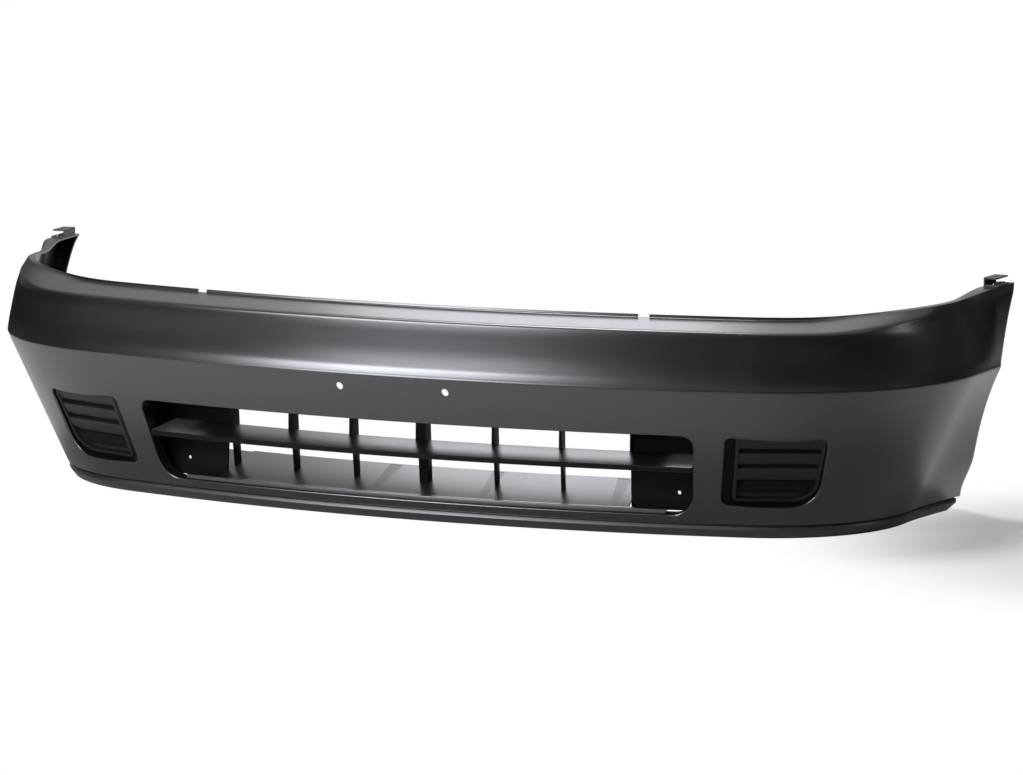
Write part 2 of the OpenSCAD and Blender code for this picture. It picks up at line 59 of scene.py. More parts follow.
# Shared by all meshes
SHARP_ANGLE = math.radians(38)
SLIM_SHARP_ANGLE = math.radians(40)
ROUND_SIDES = 40
BEVEL_STEPS = 2
ROUND_STEPS = (math.pi / 6, math.pi / 3, math.pi / 2)
CORNER_SHARE = 0.45
TINY = 1e-9
WELD = 1e-6
ALONG_Y = Matrix.Rotation(math.pi / 2, 4, "X")


class Side(Enum):
    """The two halves of the cover, as the sign of their X."""

    LEFT = -1
    RIGHT = 1

    @property
    def word(self) -> str:
        """Name of the half, as the solids' names end."""
        return self.name.lower()

    def put(self, p: Vector) -> Vector:
        """A point or direction of the right half, moved to this half."""
        return Vector((self.value * p.x, p.y, p.z))

    def flip(self, bm: BMesh, verts: Iterable[BMVert]) -> None:
        """Moves points that were made on the right half to this half."""
        bmesh.ops.scale(bm, vec=(self.value, 1, 1), verts=list(verts))


class Stretch(IntEnum):
    """Stretches of the skin's section; those from UPPER_LINE to FOLD lie on one smooth line."""

    FLANGE = 0
    BOTTOM_EDGE = 1
    LOWER_FACE = 2
    CREASE = 3
    UPPER_LINE = 4
    FOLD = 12
    UPSTAND = 13


def clamp(t: float) -> float:
    """The value, kept between 0 and 1."""
    return min(1.0, max(0.0, t))


def ease(t: float) -> float:
    """A smooth step from 0 to 1."""
    t = clamp(t)
    return t * t * (3.0 - 2.0 * t)


def mix(a: float, b: float, t: float) -> float:
    """The value a share t of the way from a to b."""
    return a + (b - a) * t


def bezier(a: Vector, corner: Vector, b: Vector, t: float) -> Vector:
    """A point on the rounded corner between a and b."""
    return a * (1 - t) ** 2 + corner * (2 * t * (1 - t)) + b * t**2


def softened(points: Sequence[Pair], radius: float, steps: int = 3) -> list[Vector]:
    """Rounds every corner of a closed profile.

    Args:
        points: Corners of the profile, in order.
        radius: How far from a corner the rounding starts.
        steps: Edges of each rounded corner.

    Returns:
        The points of the rounded profile.
    """
    ring = [Vector(p) for p in points]
    made = []
    for i, corner in enumerate(ring):
        before, after = ring[i - 1] - corner, ring[(i + 1) % len(ring)] - corner
        reach = min(radius, before.length * CORNER_SHARE, after.length * CORNER_SHARE)
        a, b = corner + before.normalized() * reach, corner + after.normalized() * reach
        made += [bezier(a, corner, b, k / steps) for k in range(steps + 1)]
    return made


def return_steps(r: float, depth: float) -> list[Pair]:
    """Steps of a rounded edge and the wall behind it: how far past the edge and how deep."""
    turns = [(r * math.sin(t), r * (1 - math.cos(t))) for t in ROUND_STEPS]
    return turns + [(r, depth / 2), (r, depth)]


def aimed(spot: Sequence[float], look: Vector, front: str = "Z") -> Matrix:
    """A place at a spot with its front axis turned to look along a direction."""
    return Matrix.Translation(spot) @ look.to_track_quat(front, "Y").to_matrix().to_4x4()


@dataclass(frozen=True)
class Outline:
    """A convex outline with rounded corners, drawn counter-clockwise in a plane."""

    corners: tuple[Pair, ...]
    radii: tuple[float, ...]
    steps: int = 8
    least_radius: float = 0.002

    def grown(self, extra: float) -> "Outline":
        """The same outline with its edges moved outwards.

        Args:
            extra: How far the edges move; negative moves them inwards.

        Returns:
            The moved outline, with its corner radii changed to suit.
        """
        ring = [Vector(c) for c in self.corners]
        lines = []
        for i, a in enumerate(ring):
            run = (ring[(i + 1) % len(ring)] - a).normalized()
            lines.append((a + Vector((run.y, -run.x)) * extra, run))
        moved = []
        for i, (start, run) in enumerate(lines):
            last, turn = lines[i - 1]
            gap = start - last
            reach = (gap.x * run.y - gap.y * run.x) / (turn.x * run.y - turn.y * run.x)
            moved.append(tuple(last + turn * reach))
        radii = tuple(max(self.least_radius, r + extra) for r in self.radii)
        return Outline(tuple(moved), radii, self.steps)

    def points(self) -> list[Vector]:
        """The outline's points, corner arcs included.

        Returns:
            The points, in order.
        """
        ring = [Vector(c) for c in self.corners]
        made = []
        for i, corner in enumerate(ring):
            u = (ring[i - 1] - corner).normalized()
            v = (ring[(i + 1) % len(ring)] - corner).normalized()
            half = math.acos(u.dot(v)) / 2
            centre = corner + (u + v).normalized() * (self.radii[i] / math.sin(half))
            arm = corner + u * (self.radii[i] / math.tan(half)) - centre
            for k in range(self.steps + 1):
                t = (math.pi - 2 * half) * k / self.steps
                made.append(centre + Vector((arm.x * math.cos(t) - arm.y * math.sin(t),
                                             arm.x * math.sin(t) + arm.y * math.cos(t))))
        return made

    @staticmethod
    def nearest(p: Vector, ring: Sequence[Vector]) -> tuple[Vector, Vector, float]:
        """The nearest point of an outline to a point of its plane.

        Args:
            p: The point.
            ring: The outline's points, as points() gives them.

        Returns:
            The nearest point, the outward normal there, and the distance, negative inside.
        """
        best, found, inside = math.inf, None, True
        for i, a in enumerate(ring):
            run = ring[(i + 1) % len(ring)] - a
            if run.length < TINY:
                continue
            out = Vector((run.y, -run.x)).normalized()
            inside = inside and (p - a).dot(out) <= 0
            q = a + run * clamp((p - a).dot(run) / run.length_squared)
            if (p - q).length < best:
                best, found = (p - q).length, (q, out)
        return found[0], found[1], -best if inside else best


@dataclass(frozen=True)
class Place:
    """One place along the right half of the plan: X, Y, heading and share of the wing passed."""

    x: float
    y: float
    heading: float
    wing: float = 0.0
    rise_rate: float = 2.6

    @property
    def share(self) -> float:
        """Eased share of the wing passed."""
        return ease(self.wing)

    @property
    def rise(self) -> float:
        """How far the upper half has changed from the corner's line to the wing's."""
        return ease(self.rise_rate * self.wing)


@dataclass(frozen=True)
class CoverPath:
    """Plan of the crease: a bowed front, two round corners and two straight wings."""

    front_radius: float = 2.420
    front_angle: float = math.radians(13.4)
    corner_radius: float = 0.367
    wing_angle: float = math.radians(83.7)
    wing_length: float = 0.262
    depth_offset: float = 0.2918
    arch_radius: float = 0.250
    arch_front: float = 0.496
    arch_z: float = 0.190

    @property
    def front_length(self) -> float:
        """Length of half the bowed front."""
        return self.front_radius * self.front_angle

    @property
    def bend_length(self) -> float:
        """Length from the middle to the start of a wing."""
        return self.front_length + self.corner_radius * (self.wing_angle - self.front_angle)

    @property
    def bow_centre(self) -> Vector:
        """Centre of the bowed front's arc, in the frame of the solids."""
        return Vector((0, self.front_radius - self.depth_offset, 0))

    @property
    def corner_centre(self) -> Pair:
        """Centre of the right corner's arc."""
        reach = self.front_radius - self.corner_radius
        return reach * math.sin(self.front_angle), self.front_radius - reach * math.cos(self.front_angle)

    def bow(self, a: float) -> Place:
        """The place at a heading on the bowed front."""
        return Place(self.front_radius * math.sin(a), self.front_radius * (1 - math.cos(a)), a)

    def bend(self, s: float) -> Place:
        """The place along the front and the corner.

        Args:
            s: Length from the middle.

        Returns:
            The place.
        """
        if s <= self.front_length:
            return self.bow(s / self.front_radius)
        a = self.front_angle + (s - self.front_length) / self.corner_radius
        x, y = self.corner_centre
        return Place(x + self.corner_radius * math.sin(a), y - self.corner_radius * math.cos(a), a)

    def wing(self, s: float) -> Place:
        """The place a length s along the straight wing.

        Args:
            s: Length from the wing's start.

        Returns:
            The place.
        """
        start = self.bend(self.bend_length)
        return Place(start.x + s * math.cos(self.wing_angle), start.y + s * math.sin(self.wing_angle),
                     self.wing_angle, s / self.wing_length)

    def point(self, place: Place, side: float, inset: float, z: float) -> Vector:
        """The point at an inset and a height of a place, on the side of that sign."""
        return Vector((side * (place.x - inset * math.sin(place.heading)),
                       place.y + inset * math.cos(place.heading) - self.depth_offset, z))

    def along_wing(self, y: float, inset: float) -> float:
        """Length along the wing at which a point of that inset reaches a depth y of the plan."""
        start = self.bend(self.bend_length)
        return (y - start.y - inset * math.cos(self.wing_angle)) / math.sin(self.wing_angle)

    def arch_reach(self, inset: float, z: float, short: float) -> float:
        """Length of the wing where the wheel arch cuts it.

        Args:
            inset: Inset of the point on the wing.
            z: Height of the point.
            short: How far before the arch edge to stop.

        Returns:
            The length along the wing.
        """
        drop = max(0.0, self.arch_radius**2 - (z - self.arch_z) ** 2)
        return self.along_wing(self.arch_front + self.arch_radius - math.sqrt(drop) - short, inset)

    def bowed(self, inset: float, x: float) -> float:
        """Y of the front arc at an inset, a distance x from the middle."""
        return self.front_radius - math.sqrt((self.front_radius - inset) ** 2 - x * x) - self.depth_offset


@dataclass(frozen=True)
class SkinSection:
    """Cross-section of the skin: bottom flange, leaning lower face, crease, band, ledge and upstand.

    The upper lines are points of inset and height above the crease: across the front, at the
    corner and on the wing.
    """

    path: CoverPath
    crease_z: float = 0.246
    bottom_z: float = 0.022
    lean: float = 0.45
    lean_wing: float = 0.33
    bulge: float = 0.030
    bulge_z: float = 0.100
    flange: float = 0.030
    edge_round: float = 0.003
    crease_share: float = 0.35
    fold_round: float = 0.002
    fold_share: float = 0.4
    turn_start: float = 30.0
    turn_span: float = 45.0
    front_line: tuple[Pair, ...] = (
        (0.0025, 0.252), (0.0057, 0.262), (0.0080, 0.282), (0.0087, 0.306), (0.0092, 0.328),
        (0.0108, 0.3345), (0.0160, 0.3370), (0.089, 0.346), (0.090, 0.351))
    corner_line: tuple[Pair, ...] = (
        (0.001, 0.254), (0.0025, 0.266), (0.0065, 0.285), (0.012, 0.308), (0.018, 0.328),
        (0.023, 0.342), (0.0265, 0.354), (0.030, 0.364), (0.042, 0.364))
    wing_line: tuple[Pair, ...] = (
        (0.0005, 0.254), (0.0005, 0.266), (0.0005, 0.285), (0.001, 0.308), (0.002, 0.330),
        (0.003, 0.348), (0.0045, 0.362), (0.008, 0.375), (0.034, 0.375))

    def low_inset(self, place: Place, z: float) -> float:
        """Inset of the lower face.

        Args:
            place: Where along the plan.
            z: Height of the point.

        Returns:
            The inset, less on a wing, where the face swells out.
        """
        low = mix(self.lean, self.lean_wing, place.share) * (self.crease_z - z)
        swell = min(ease((z - self.bottom_z) / (self.bulge_z - self.bottom_z)),
                    ease((self.crease_z - z) / (self.crease_z - self.bulge_z)))
        return low - self.bulge * place.share * swell

    def upper_points(self, place: Place) -> list[Vector]:
        """Points of the line above the crease.

        Args:
            place: Where along the plan.

        Returns:
            The points, from the crease to the top edge, mixed from the front, corner and wing.
        """
        turn = ease((math.degrees(place.heading) - self.turn_start) / self.turn_span)
        made = [Vector((0.0, self.crease_z))]
        for front, corner, wing in zip(self.front_line, self.corner_line, self.wing_line):
            made.append(Vector([mix(front[i], mix(corner[i], wing[i], place.rise), turn) for i in (0, 1)]))
        return made

    @staticmethod
    def curve(points: Sequence[Vector], i: int, t: float) -> Vector:
        """A point of the smooth line through some points.

        Args:
            points: Points the line passes.
            i: Number of the stretch, from its first point.
            t: Share of the stretch.

        Returns:
            The point on the stretch.
        """
        a, b = points[i], points[i + 1]
        run = (b - a).length

        def slope(k: int) -> Vector:
            """Direction of the line at point k, per length.

            Args:
                k: Number of the point.

            Returns:
                The direction.
            """
            if k == 0:
                return (points[1] - points[0]).normalized()
            if k >= len(points) - 1:
                return (points[-1] - points[-2]).normalized()
            before, after = points[k] - points[k - 1], points[k + 1] - points[k]
            return (before + after) / (before.length + after.length)

        m, n = slope(i) * run, slope(i + 1) * run
        return (a * (2 * t**3 - 3 * t**2 + 1) + m * (t**3 - 2 * t**2 + t)
                + b * (3 * t**2 - 2 * t**3) + n * (t**3 - t**2))

    def outer(self, place: Place, v: float) -> Vector:
        """The outer surface's inset and height.

        Args:
            place: Where along the plan.
            v: How far up the section: its whole part is the stretch, and the rest is the share
                of the stretch.

        Returns:
            Inset and height as a vector of two.
        """
        k = min(int(v), Stretch.UPSTAND)
        t = v - k
        low = Vector((self.low_inset(place, self.bottom_z), self.bottom_z))
        flange_end = low + Vector((self.edge_round, 0))
        face_z = (self.bottom_z + self.edge_round, self.crease_z - self.edge_round)
        if k == Stretch.FLANGE:
            return (low + Vector((self.flange, 0))).lerp(flange_end, t)
        if k == Stretch.BOTTOM_EDGE:
            return bezier(flange_end, low, Vector((self.low_inset(place, face_z[0]), face_z[0])), t)
        if k == Stretch.LOWER_FACE:
            z = mix(*face_z, t)
            return Vector((self.low_inset(place, z), z))
        line = self.upper_points(place)
        smooth, fold, top = line[:-1], line[-2], line[-1]
        if k == Stretch.CREASE:
            below = Vector((self.low_inset(place, face_z[1]), face_z[1]))
            return bezier(below, line[0], self.curve(smooth, 0, self.crease_share), t)
        last = len(smooth) - 2
        fold_before = 1 - min(self.fold_share, self.fold_round / (fold - smooth[last]).length)
        if k < Stretch.FOLD:
            i = k - Stretch.UPPER_LINE
            start = self.crease_share if i == 0 else 0.0
            end = fold_before if i == last else 1.0
            return self.curve(smooth, i, mix(start, end, t))
        rise = top - fold
        fold_after = fold + rise.normalized() * min(self.fold_round, rise.length * self.fold_share)
        if k == Stretch.FOLD:
            return bezier(self.curve(smooth, last, fold_before), fold, fold_after, t)
        return fold_after.lerp(top, t)


@dataclass(frozen=True)
class LampFrame:
    """Frame of the right lamp opening: X along the face, Y inwards, Z up the leaning face."""

    path: CoverPath
    section: SkinSection
    x: float = 0.585
    z: float = 0.109
    width: float = 0.160
    height: float = 0.125
    corner_signs: tuple[Pair, ...] = ((-1, -1), (1, -1), (1, 1), (-1, 1))
    corner_shifts: tuple[Pair, ...] = ((0.003, 0.0), (-0.008, 0.0), (0.005, -0.003), (0.005, 0.0))
    corner_radii: tuple[float, ...] = (0.012, 0.042, 0.014, 0.009)
    depth: float = 0.034
    slope: float = 0.016
    slope_start: float = 0.003
    blank_front: float = 0.015
    pegs: tuple[Pair, ...] = ((-0.042, 0.022), (0.061, 0.022))

    @property
    def matrix(self) -> Matrix:
        """Place and turn of the frame on the right half.

        Returns:
            The frame's matrix.
        """
        inset = self.section.lean * (self.section.crease_z - self.z)
        cx, cy = self.path.corner_centre
        reach = self.path.corner_radius - inset
        turn = math.asin((self.x - cx) / reach)
        y = cy - reach * math.cos(turn) - self.path.depth_offset
        tilt = math.atan(self.section.lean)
        return (Matrix.Translation((self.x, y, self.z)) @ Matrix.Rotation(turn, 4, "Z")
                @ Matrix.Rotation(tilt, 4, "X"))

    @property
    def outline(self) -> Outline:
        """Outline of the opening in the frame's X and Z.

        Returns:
            The outline, at the inner side of the opening's rounded edge.
        """
        corners = tuple((sx * self.width / 2 + dx, sz * self.height / 2 + dz)
                        for (sx, sz), (dx, dz) in zip(self.corner_signs, self.corner_shifts))
        return Outline(corners, self.corner_radii)

    @property
    def blank_outline(self) -> Outline:
        """Outline of the recess where the blank sits, past its sloping inner wall."""
        a, b, c, d = self.outline.corners
        return Outline(((a[0] + self.slope, a[1]), b, c, (d[0] + self.slope, d[1])), self.corner_radii)

    def sloped(self, p: Vector) -> Vector:
        """Where a point of the opening's outline ends up past the sloping wall."""
        left, right = self.outline.corners[0][0], self.width / 2
        return Vector((p.x + self.slope * clamp((right - p.x) / (right - left)), p.y))


@dataclass
class Graph:
    """A tree of shader nodes in the making."""

    tree: NodeTree

    def put(self, socket: NodeSocket, value: object) -> None:
        """Links an input to another socket, or gives it a plain value.

        Args:
            socket: The input.
            value: The socket to link it to, or its value.
        """
        if isinstance(value, NodeSocket):
            self.tree.links.new(value, socket)
        else:
            socket.default_value = value

    def add(self, kind: str, **values: object) -> Node:
        """Adds a node.

        Args:
            kind: Blender's name of the node, after its first words ShaderNode.
            values: Sockets or plain values of its inputs, named with underscores for spaces.

        Returns:
            The node.
        """
        node = self.tree.nodes.new("ShaderNode" + kind)
        for key, value in values.items():
            self.put(node.inputs[key.replace("_", " ")], value)
        return node

    def place(self, kind: str) -> NodeSocket:
        """The coordinates of that kind."""
        return self.add("TexCoord").outputs[kind]

    def noise(self, where: NodeSocket, scale: float, detail: float, **values: float) -> NodeSocket:
        """A noise at some coordinates."""
        return self.add("TexNoise", Vector=where, Scale=scale, Detail=detail, **values).outputs["Fac"]

    def ramp(self, source: NodeSocket, span: Pair, values: Pair, kind: str = "SMOOTHSTEP") -> NodeSocket:
        """A change from one value to another.

        Args:
            source: The value that drives the change.
            span: Where the change starts and ends.
            values: The values before and after it.
            kind: Blender's name of the change.

        Returns:
            The socket of the changed value.
        """
        node = self.add("MapRange", Value=source, From_Min=span[0], From_Max=span[1],
                        To_Min=values[0], To_Max=values[1])
        node.interpolation_type = kind
        return node.outputs["Result"]

    def sum_of(self, operation: str, *terms: object, kind: str = "Math") -> NodeSocket:
        """Works out one sum.

        Args:
            operation: Blender's name of the sum.
            terms: Sockets or plain values, in order.
            kind: The kind of node, for numbers or vectors.

        Returns:
            The socket of the answer.
        """
        node = self.add(kind)
        node.operation = operation
        for socket, term in zip(node.inputs, terms):
            self.put(socket, term)
        return node.outputs["Value"]

    def product(self, first: NodeSocket, *others: NodeSocket) -> NodeSocket:
        """Multiplies some values.

        Args:
            first: The first value.
            others: The values to multiply it by.

        Returns:
            The socket of the answer.
        """
        for other in others:
            first = self.sum_of("MULTIPLY", first, other)
        return first

    def blend(self, share: NodeSocket, first: NodeSocket, second: NodeSocket) -> NodeSocket:
        """Mixes two shaders.

        Args:
            share: The share of the second shader.
            first: The first shader.
            second: The second shader.

        Returns:
            The socket of the mixed shader.
        """
        node = self.add("MixShader", Fac=share)
        self.put(node.inputs[1], first)
        self.put(node.inputs[2], second)
        return node.outputs["Shader"]

    def two_tone(self, source: NodeSocket, tones: Iterable[Sequence[float]], span: Pair) -> NodeSocket:
        """A change between two colours.

        Args:
            source: The value that drives the change.
            tones: The two colours.
            span: Where the change starts and ends.

        Returns:
            The socket of the colour.
        """
        node = self.add("ValToRGB", Fac=source)
        for element, tone, position in zip(node.color_ramp.elements, tones, span):
            element.position, element.color = position, (*tone, 1.0)
        return node.outputs["Color"]

    def bump(self, height: NodeSocket, strength: float, depth: float) -> NodeSocket:
        """The normals of a bumpy surface."""
        return self.add("Bump", Height=height, Strength=strength, Distance=depth).outputs["Normal"]

    def surface(self, colour: NodeSocket, gloss: NodeSocket, normal: NodeSocket, **values: float) -> None:
        """Ends a material with its surface.

        Args:
            colour: Its colour.
            gloss: Its roughness.
            normal: Its normals.
            values: What is uniform over the surface.
        """
        shader = self.add("BsdfPrincipled", Base_Color=colour, Roughness=gloss, Normal=normal, **values)
        self.add("OutputMaterial", Surface=shader.outputs["BSDF"])


class Finish:
    """A finish made of nodes; each kind fills in its own."""

    name: str

    def material(self) -> Material:
        """The material, made on first use and shared after that.

        Returns:
            The material.
        """
        made = bpy.data.materials.get(self.name)
        if not made:
            made = bpy.data.materials.new(self.name)
            made.use_nodes = True
            self.fill(made.node_tree)
        return made

    def fill(self, tree: NodeTree) -> None:
        """Clears a node tree and builds the finish in it."""
        tree.nodes.clear()
        self.build(Graph(tree))

    def build(self, graph: Graph) -> None:
        """Builds the finish in an empty tree."""
        raise NotImplementedError


@dataclass(frozen=True)
class MouldedPlastic(Finish):
    """Dark moulded plastic: a fine grain, a faint cloudiness and a satin gloss."""

    name: str
    tone: Triple
    roughness: float
    grain_scale: float = 900.0
    grain_depth: float = 0.00004
    grain_strength: float = 0.6
    grain_detail: float = 2.0
    cloud: float = 0.12
    cloud_scale: float = 9.0
    cloud_detail: float = 5.0
    cloud_roughness: float = 0.6
    cloud_span: Pair = (0.3, 0.7)
    speck_scale: float = 260.0
    speck_detail: float = 3.0
    speck_share: float = 0.15
    gloss_spread: float = 0.05
    index: float = 1.5

    def build(self, graph: Graph) -> None:
        """Builds the finish in an empty tree.

        Args:
            graph: The tree of nodes.
        """
        where = graph.place("Object")
        cloud = graph.noise(where, self.cloud_scale, self.cloud_detail, Roughness=self.cloud_roughness)
        speck = graph.noise(where, self.speck_scale, self.speck_detail)
        grain = graph.noise(where, self.grain_scale, self.grain_detail)
        patchy = graph.sum_of("MULTIPLY_ADD", speck, self.speck_share, cloud)
        tones = [[c * gain for c in self.tone] for gain in (1 - self.cloud, 1 + self.cloud)]
        gloss = (self.roughness - self.gloss_spread, self.roughness + self.gloss_spread)
        graph.surface(graph.two_tone(cloud, tones, self.cloud_span),
                      graph.ramp(patchy, (0.0, 1.0), gloss, "LINEAR"),
                      graph.bump(grain, self.grain_strength, self.grain_depth), IOR=self.index)


@dataclass(frozen=True)
class WorkedMetal(Finish):
    """Bare or coated metal with fine brush marks and worn patches."""

    name: str
    tone: Triple
    roughness: float
    metallic: float = 1.0
    brush: float = 0.3
    mark_stretch: Triple = (900.0, 900.0, 60.0)
    mark_detail: float = 4.0
    mark_depth: float = 0.0001
    mark_gloss: Pair = (-0.1, 0.12)
    patch_scale: float = 70.0
    patch_detail: float = 6.0
    patch_gain: Pair = (0.72, 1.2)

    def build(self, graph: Graph) -> None:
        """Builds the finish in an empty tree.

        Args:
            graph: The tree of nodes.
        """
        where = graph.place("Object")
        stretched = graph.add("Mapping", Vector=where, Scale=self.mark_stretch).outputs["Vector"]
        marks = graph.noise(stretched, 1.0, self.mark_detail)
        patch = graph.noise(where, self.patch_scale, self.patch_detail)
        tones = [[c * gain for c in self.tone] for gain in self.patch_gain]
        gloss = [self.roughness + change for change in self.mark_gloss]
        graph.surface(graph.two_tone(patch, tones, (0.0, 1.0)),
                      graph.ramp(marks, (0.0, 1.0), gloss, "LINEAR"),
                      graph.bump(marks, self.brush, self.mark_depth), Metallic=self.metallic)


SKIN_FINISH = MouldedPlastic("satin_black_skin", (0.0084, 0.0068, 0.0064), 0.28, grain_scale=1400.0,
                             grain_depth=0.000003, gloss_spread=0.025, index=1.9)
# Painted shade: a darker, less glossy copy of the black plastic for the lamp recess walls and seat, the
# grille nose and ribs, the grille end blanks and the lowest lamp slat.
PAINTED_SHADE_FINISH = MouldedPlastic("painted_shade_black", (0.0036, 0.0029, 0.0027), 0.55, grain_depth=0.00002,
                               index=1.24)
LIP_FINISH = MouldedPlastic("grained_black_lip", (0.021, 0.020, 0.0195), 0.38, grain_scale=700.0,
                            grain_depth=0.00005, index=1.8)
GRILLE_FINISH = MouldedPlastic("satin_black_grille", (0.012, 0.012, 0.013), 0.31, grain_scale=1200.0,
                               grain_depth=0.000004, index=2.1)
BLANK_FINISH = MouldedPlastic("dull_black_blank", (0.0105, 0.0086, 0.0082), 0.42, grain_depth=0.00002,
                              index=1.48)
CLIP_FINISH = MouldedPlastic("plain_black_clip", (0.020, 0.020, 0.020), 0.45)
PIN_FINISH = MouldedPlastic("plain_black_pin", (0.030, 0.030, 0.031), 0.38)
RUBBER_FINISH = MouldedPlastic("black_rubber", (0.012, 0.012, 0.012), 0.75, grain_scale=500.0,
                               grain_depth=0.0001)
BRACKET_FINISH = WorkedMetal("black_coated_steel", (0.045, 0.045, 0.047), 0.45, metallic=0.0)
STEEL_FINISH = WorkedMetal("plated_steel", (0.52, 0.52, 0.54), 0.35)


def only(kind: type, geom: Iterable[object]) -> list:
    """The elements of one kind among those that an operator gave back."""
    return [g for g in geom if isinstance(g, kind)]


def shade(mesh: Mesh, sharp: float = SHARP_ANGLE) -> None:
    """Smooths the shading of a mesh across all edges less sharp than an angle."""
    mesh.shade_smooth()
    mesh.set_sharp_from_angle(angle=sharp)


def paint(obj: Object, *finishes: Finish) -> None:
    """Gives an object its finishes, in the order of their material slots."""
    for finish in finishes:
        obj.data.materials.append(finish.material())


def as_object(bm: BMesh, name: str, *finishes: Finish) -> Object:
    """Turns a bmesh into an object of the scene.

    Args:
        bm: The mesh, which is freed.
        name: Name of the object.
        finishes: Its finishes.

    Returns:
        The object, at the origin.
    """
    mesh = bpy.data.meshes.new(name)
    bm.to_mesh(mesh)
    bm.free()
    obj = bpy.data.objects.new(name, mesh)
    bpy.context.scene.collection.objects.link(obj)
    paint(obj, *finishes)
    return obj


def baked(obj: Object) -> None:
    """Applies an object's modifiers and sets its shading.

    Args:
        obj: The object, linked to the scene.
    """
    graph = bpy.context.evaluated_depsgraph_get()
    made = bpy.data.meshes.new_from_object(obj.evaluated_get(graph))
    obj.modifiers.clear()
    old, obj.data = obj.data, made
    bpy.data.meshes.remove(old)
    made.name = obj.name
    shade(made)


def cut_with(obj: Object, cutter: BMesh) -> None:
    """Cuts the solids of a bmesh out of an object.

    Args:
        obj: The object to cut.
        cutter: The solids to take away; the bmesh is freed.
    """
    tool = as_object(cutter, obj.name + "_cutter")
    cut = obj.modifiers.new("bores", "BOOLEAN")
    cut.object, cut.operation, cut.solver = tool, "DIFFERENCE", "EXACT"
    baked(obj)
    mesh = tool.data
    bpy.data.objects.remove(tool)
    bpy.data.meshes.remove(mesh)


def dress(obj: Object, body: str, node: str) -> None:
    """Ties a piece to the frame.

    Args:
        obj: The piece.
        body: The body it rides on.
        node: The solid it stands for.
    """
    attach(obj, body)
    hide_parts(node)
    LOG.info("%s: %d faces, stands for %s", obj.name, len(obj.data.polygons), node)


def faces_of(verts: Iterable[BMVert]) -> list[BMFace]:
    """All faces that meet some points."""
    return list({f for v in verts for f in v.link_faces})


def add_drill(bm: BMesh, place: Matrix, radius: float, length: float = 0.02) -> None:
    """Adds one round cutter, along the Z of its place and centred on it."""
    bmesh.ops.create_cone(bm, cap_ends=True, segments=ROUND_SIDES, radius1=radius, radius2=radius,
                          depth=length, matrix=place)


def add_prism(bm: BMesh, points: Iterable[Vector], run: Sequence[float]) -> list[BMVert]:
    """Adds a closed prism.

    Args:
        bm: The mesh to add to.
        points: Corners of its first end.
        run: From the first end to the other.

    Returns:
        The points of both ends.
    """
    verts = [bm.verts.new(p) for p in points]
    face = bm.faces.new(verts)
    new = bmesh.ops.extrude_face_region(bm, geom=[face], use_keep_orig=True)["geom"]
    moved = only(BMVert, new)
    bmesh.ops.translate(bm, verts=moved, vec=run)
    bmesh.ops.recalc_face_normals(bm, faces=faces_of(verts + moved))
    return verts + moved


def round_edges(bm: BMesh, edges: Iterable[BMEdge], offset: float, clamped: bool = False) -> None:
    """Rounds some edges; clamped keeps the rounding from crossing its neighbours."""
    bmesh.ops.bevel(bm, geom=list(edges), offset=offset, offset_type="OFFSET", affect="EDGES",
                    segments=BEVEL_STEPS, profile=0.5, material=-1, clamp_overlap=clamped)


def trim(bm: BMesh, at: Sequence[float], out: Sequence[float]) -> None:
    """Cuts off what lies beyond a plane and closes the cut.

    Args:
        bm: The mesh.
        at: A point of the plane.
        out: Its normal, towards what is cut off.
    """
    cut = bmesh.ops.bisect_plane(bm, geom=bm.verts[:] + bm.edges[:] + bm.faces[:], plane_co=at,
                                 plane_no=out, clear_outer=True)
    rims = only(BMEdge, cut["geom_cut"])
    if rims:
        bmesh.ops.holes_fill(bm, edges=rims, sides=0)


def extruded_ring(bm: BMesh, edges: Iterable[BMEdge], move: Callable[[BMVert], Vector]
                  ) -> tuple[list[BMEdge], dict[BMVert, BMVert]]:
    """Extrudes a line of edges and places its new points.

    Args:
        bm: The mesh.
        edges: The edges to extrude.
        move: Gives the new place for each old point.

    Returns:
        The new edges, and the old point of each new one.
    """
    edges = list(edges)
    old = {v for e in edges for v in e.verts}
    places = {v: move(v) for v in old}
    new = bmesh.ops.extrude_edge_only(bm, edges=edges)["geom"]
    source = {}
    for v in only(BMVert, new):
        source[v] = next(e.other_vert(v) for e in v.link_edges if e.other_vert(v) in old)
    for v, o in source.items():
        v.co = places[o]
    return [e for e in only(BMEdge, new) if all(v in source for v in e.verts)], source


def extruded_rings(bm: BMesh, edges: Iterable[BMEdge], steps: Iterable[Sequence],
                   place: Callable[[BMVert, Sequence], Vector]) -> list[list[BMEdge]]:
    """Extrudes a line of edges once for each step.

    Args:
        bm: The mesh.
        edges: The edges to start from.
        steps: What tells one step from the next.
        place: Gives the place of a point of the first line at a step.

    Returns:
        The new edges of each step.
    """
    owner = {v: v for e in edges for v in e.verts}
    rings = []
    for step in steps:
        edges, source = extruded_ring(bm, edges, lambda v: place(owner[v], step))
        owner = {v: owner[o] for v, o in source.items()}
        rings.append(edges)
    return rings


def sweep_profile(bm: BMesh, path: CoverPath, profile: Sequence[Vector], start: float, end: float,
                  steps: int) -> None:
    """Spins a profile of inset and height about the centre of the bowed front.

    Args:
        bm: The mesh to add to.
        path: The plan, for the bow's centre.
        profile: The profile's points, in order.
        start: Heading of the first end.
        end: Heading of the last end.
        steps: Steps of the spin.
    """
    verts = [bm.verts.new(path.point(path.bow(start), 1.0, d, z)) for d, z in profile]
    face = bm.faces.new(verts)
    cap = bmesh.ops.duplicate(bm, geom=[face])["geom"]
    bmesh.ops.spin(bm, geom=[face], cent=path.bow_centre, axis=(0, 0, 1), angle=end - start, steps=steps)
    every = set(verts) | set(only(BMVert, cap))
    grown = set(every)
    while grown:
        grown = {e.other_vert(v) for v in grown for e in v.link_edges} - every
        every |= grown
    bmesh.ops.remove_doubles(bm, verts=list(every), dist=WELD)
    bmesh.ops.recalc_face_normals(bm, faces=faces_of(v for v in every if v.is_valid))


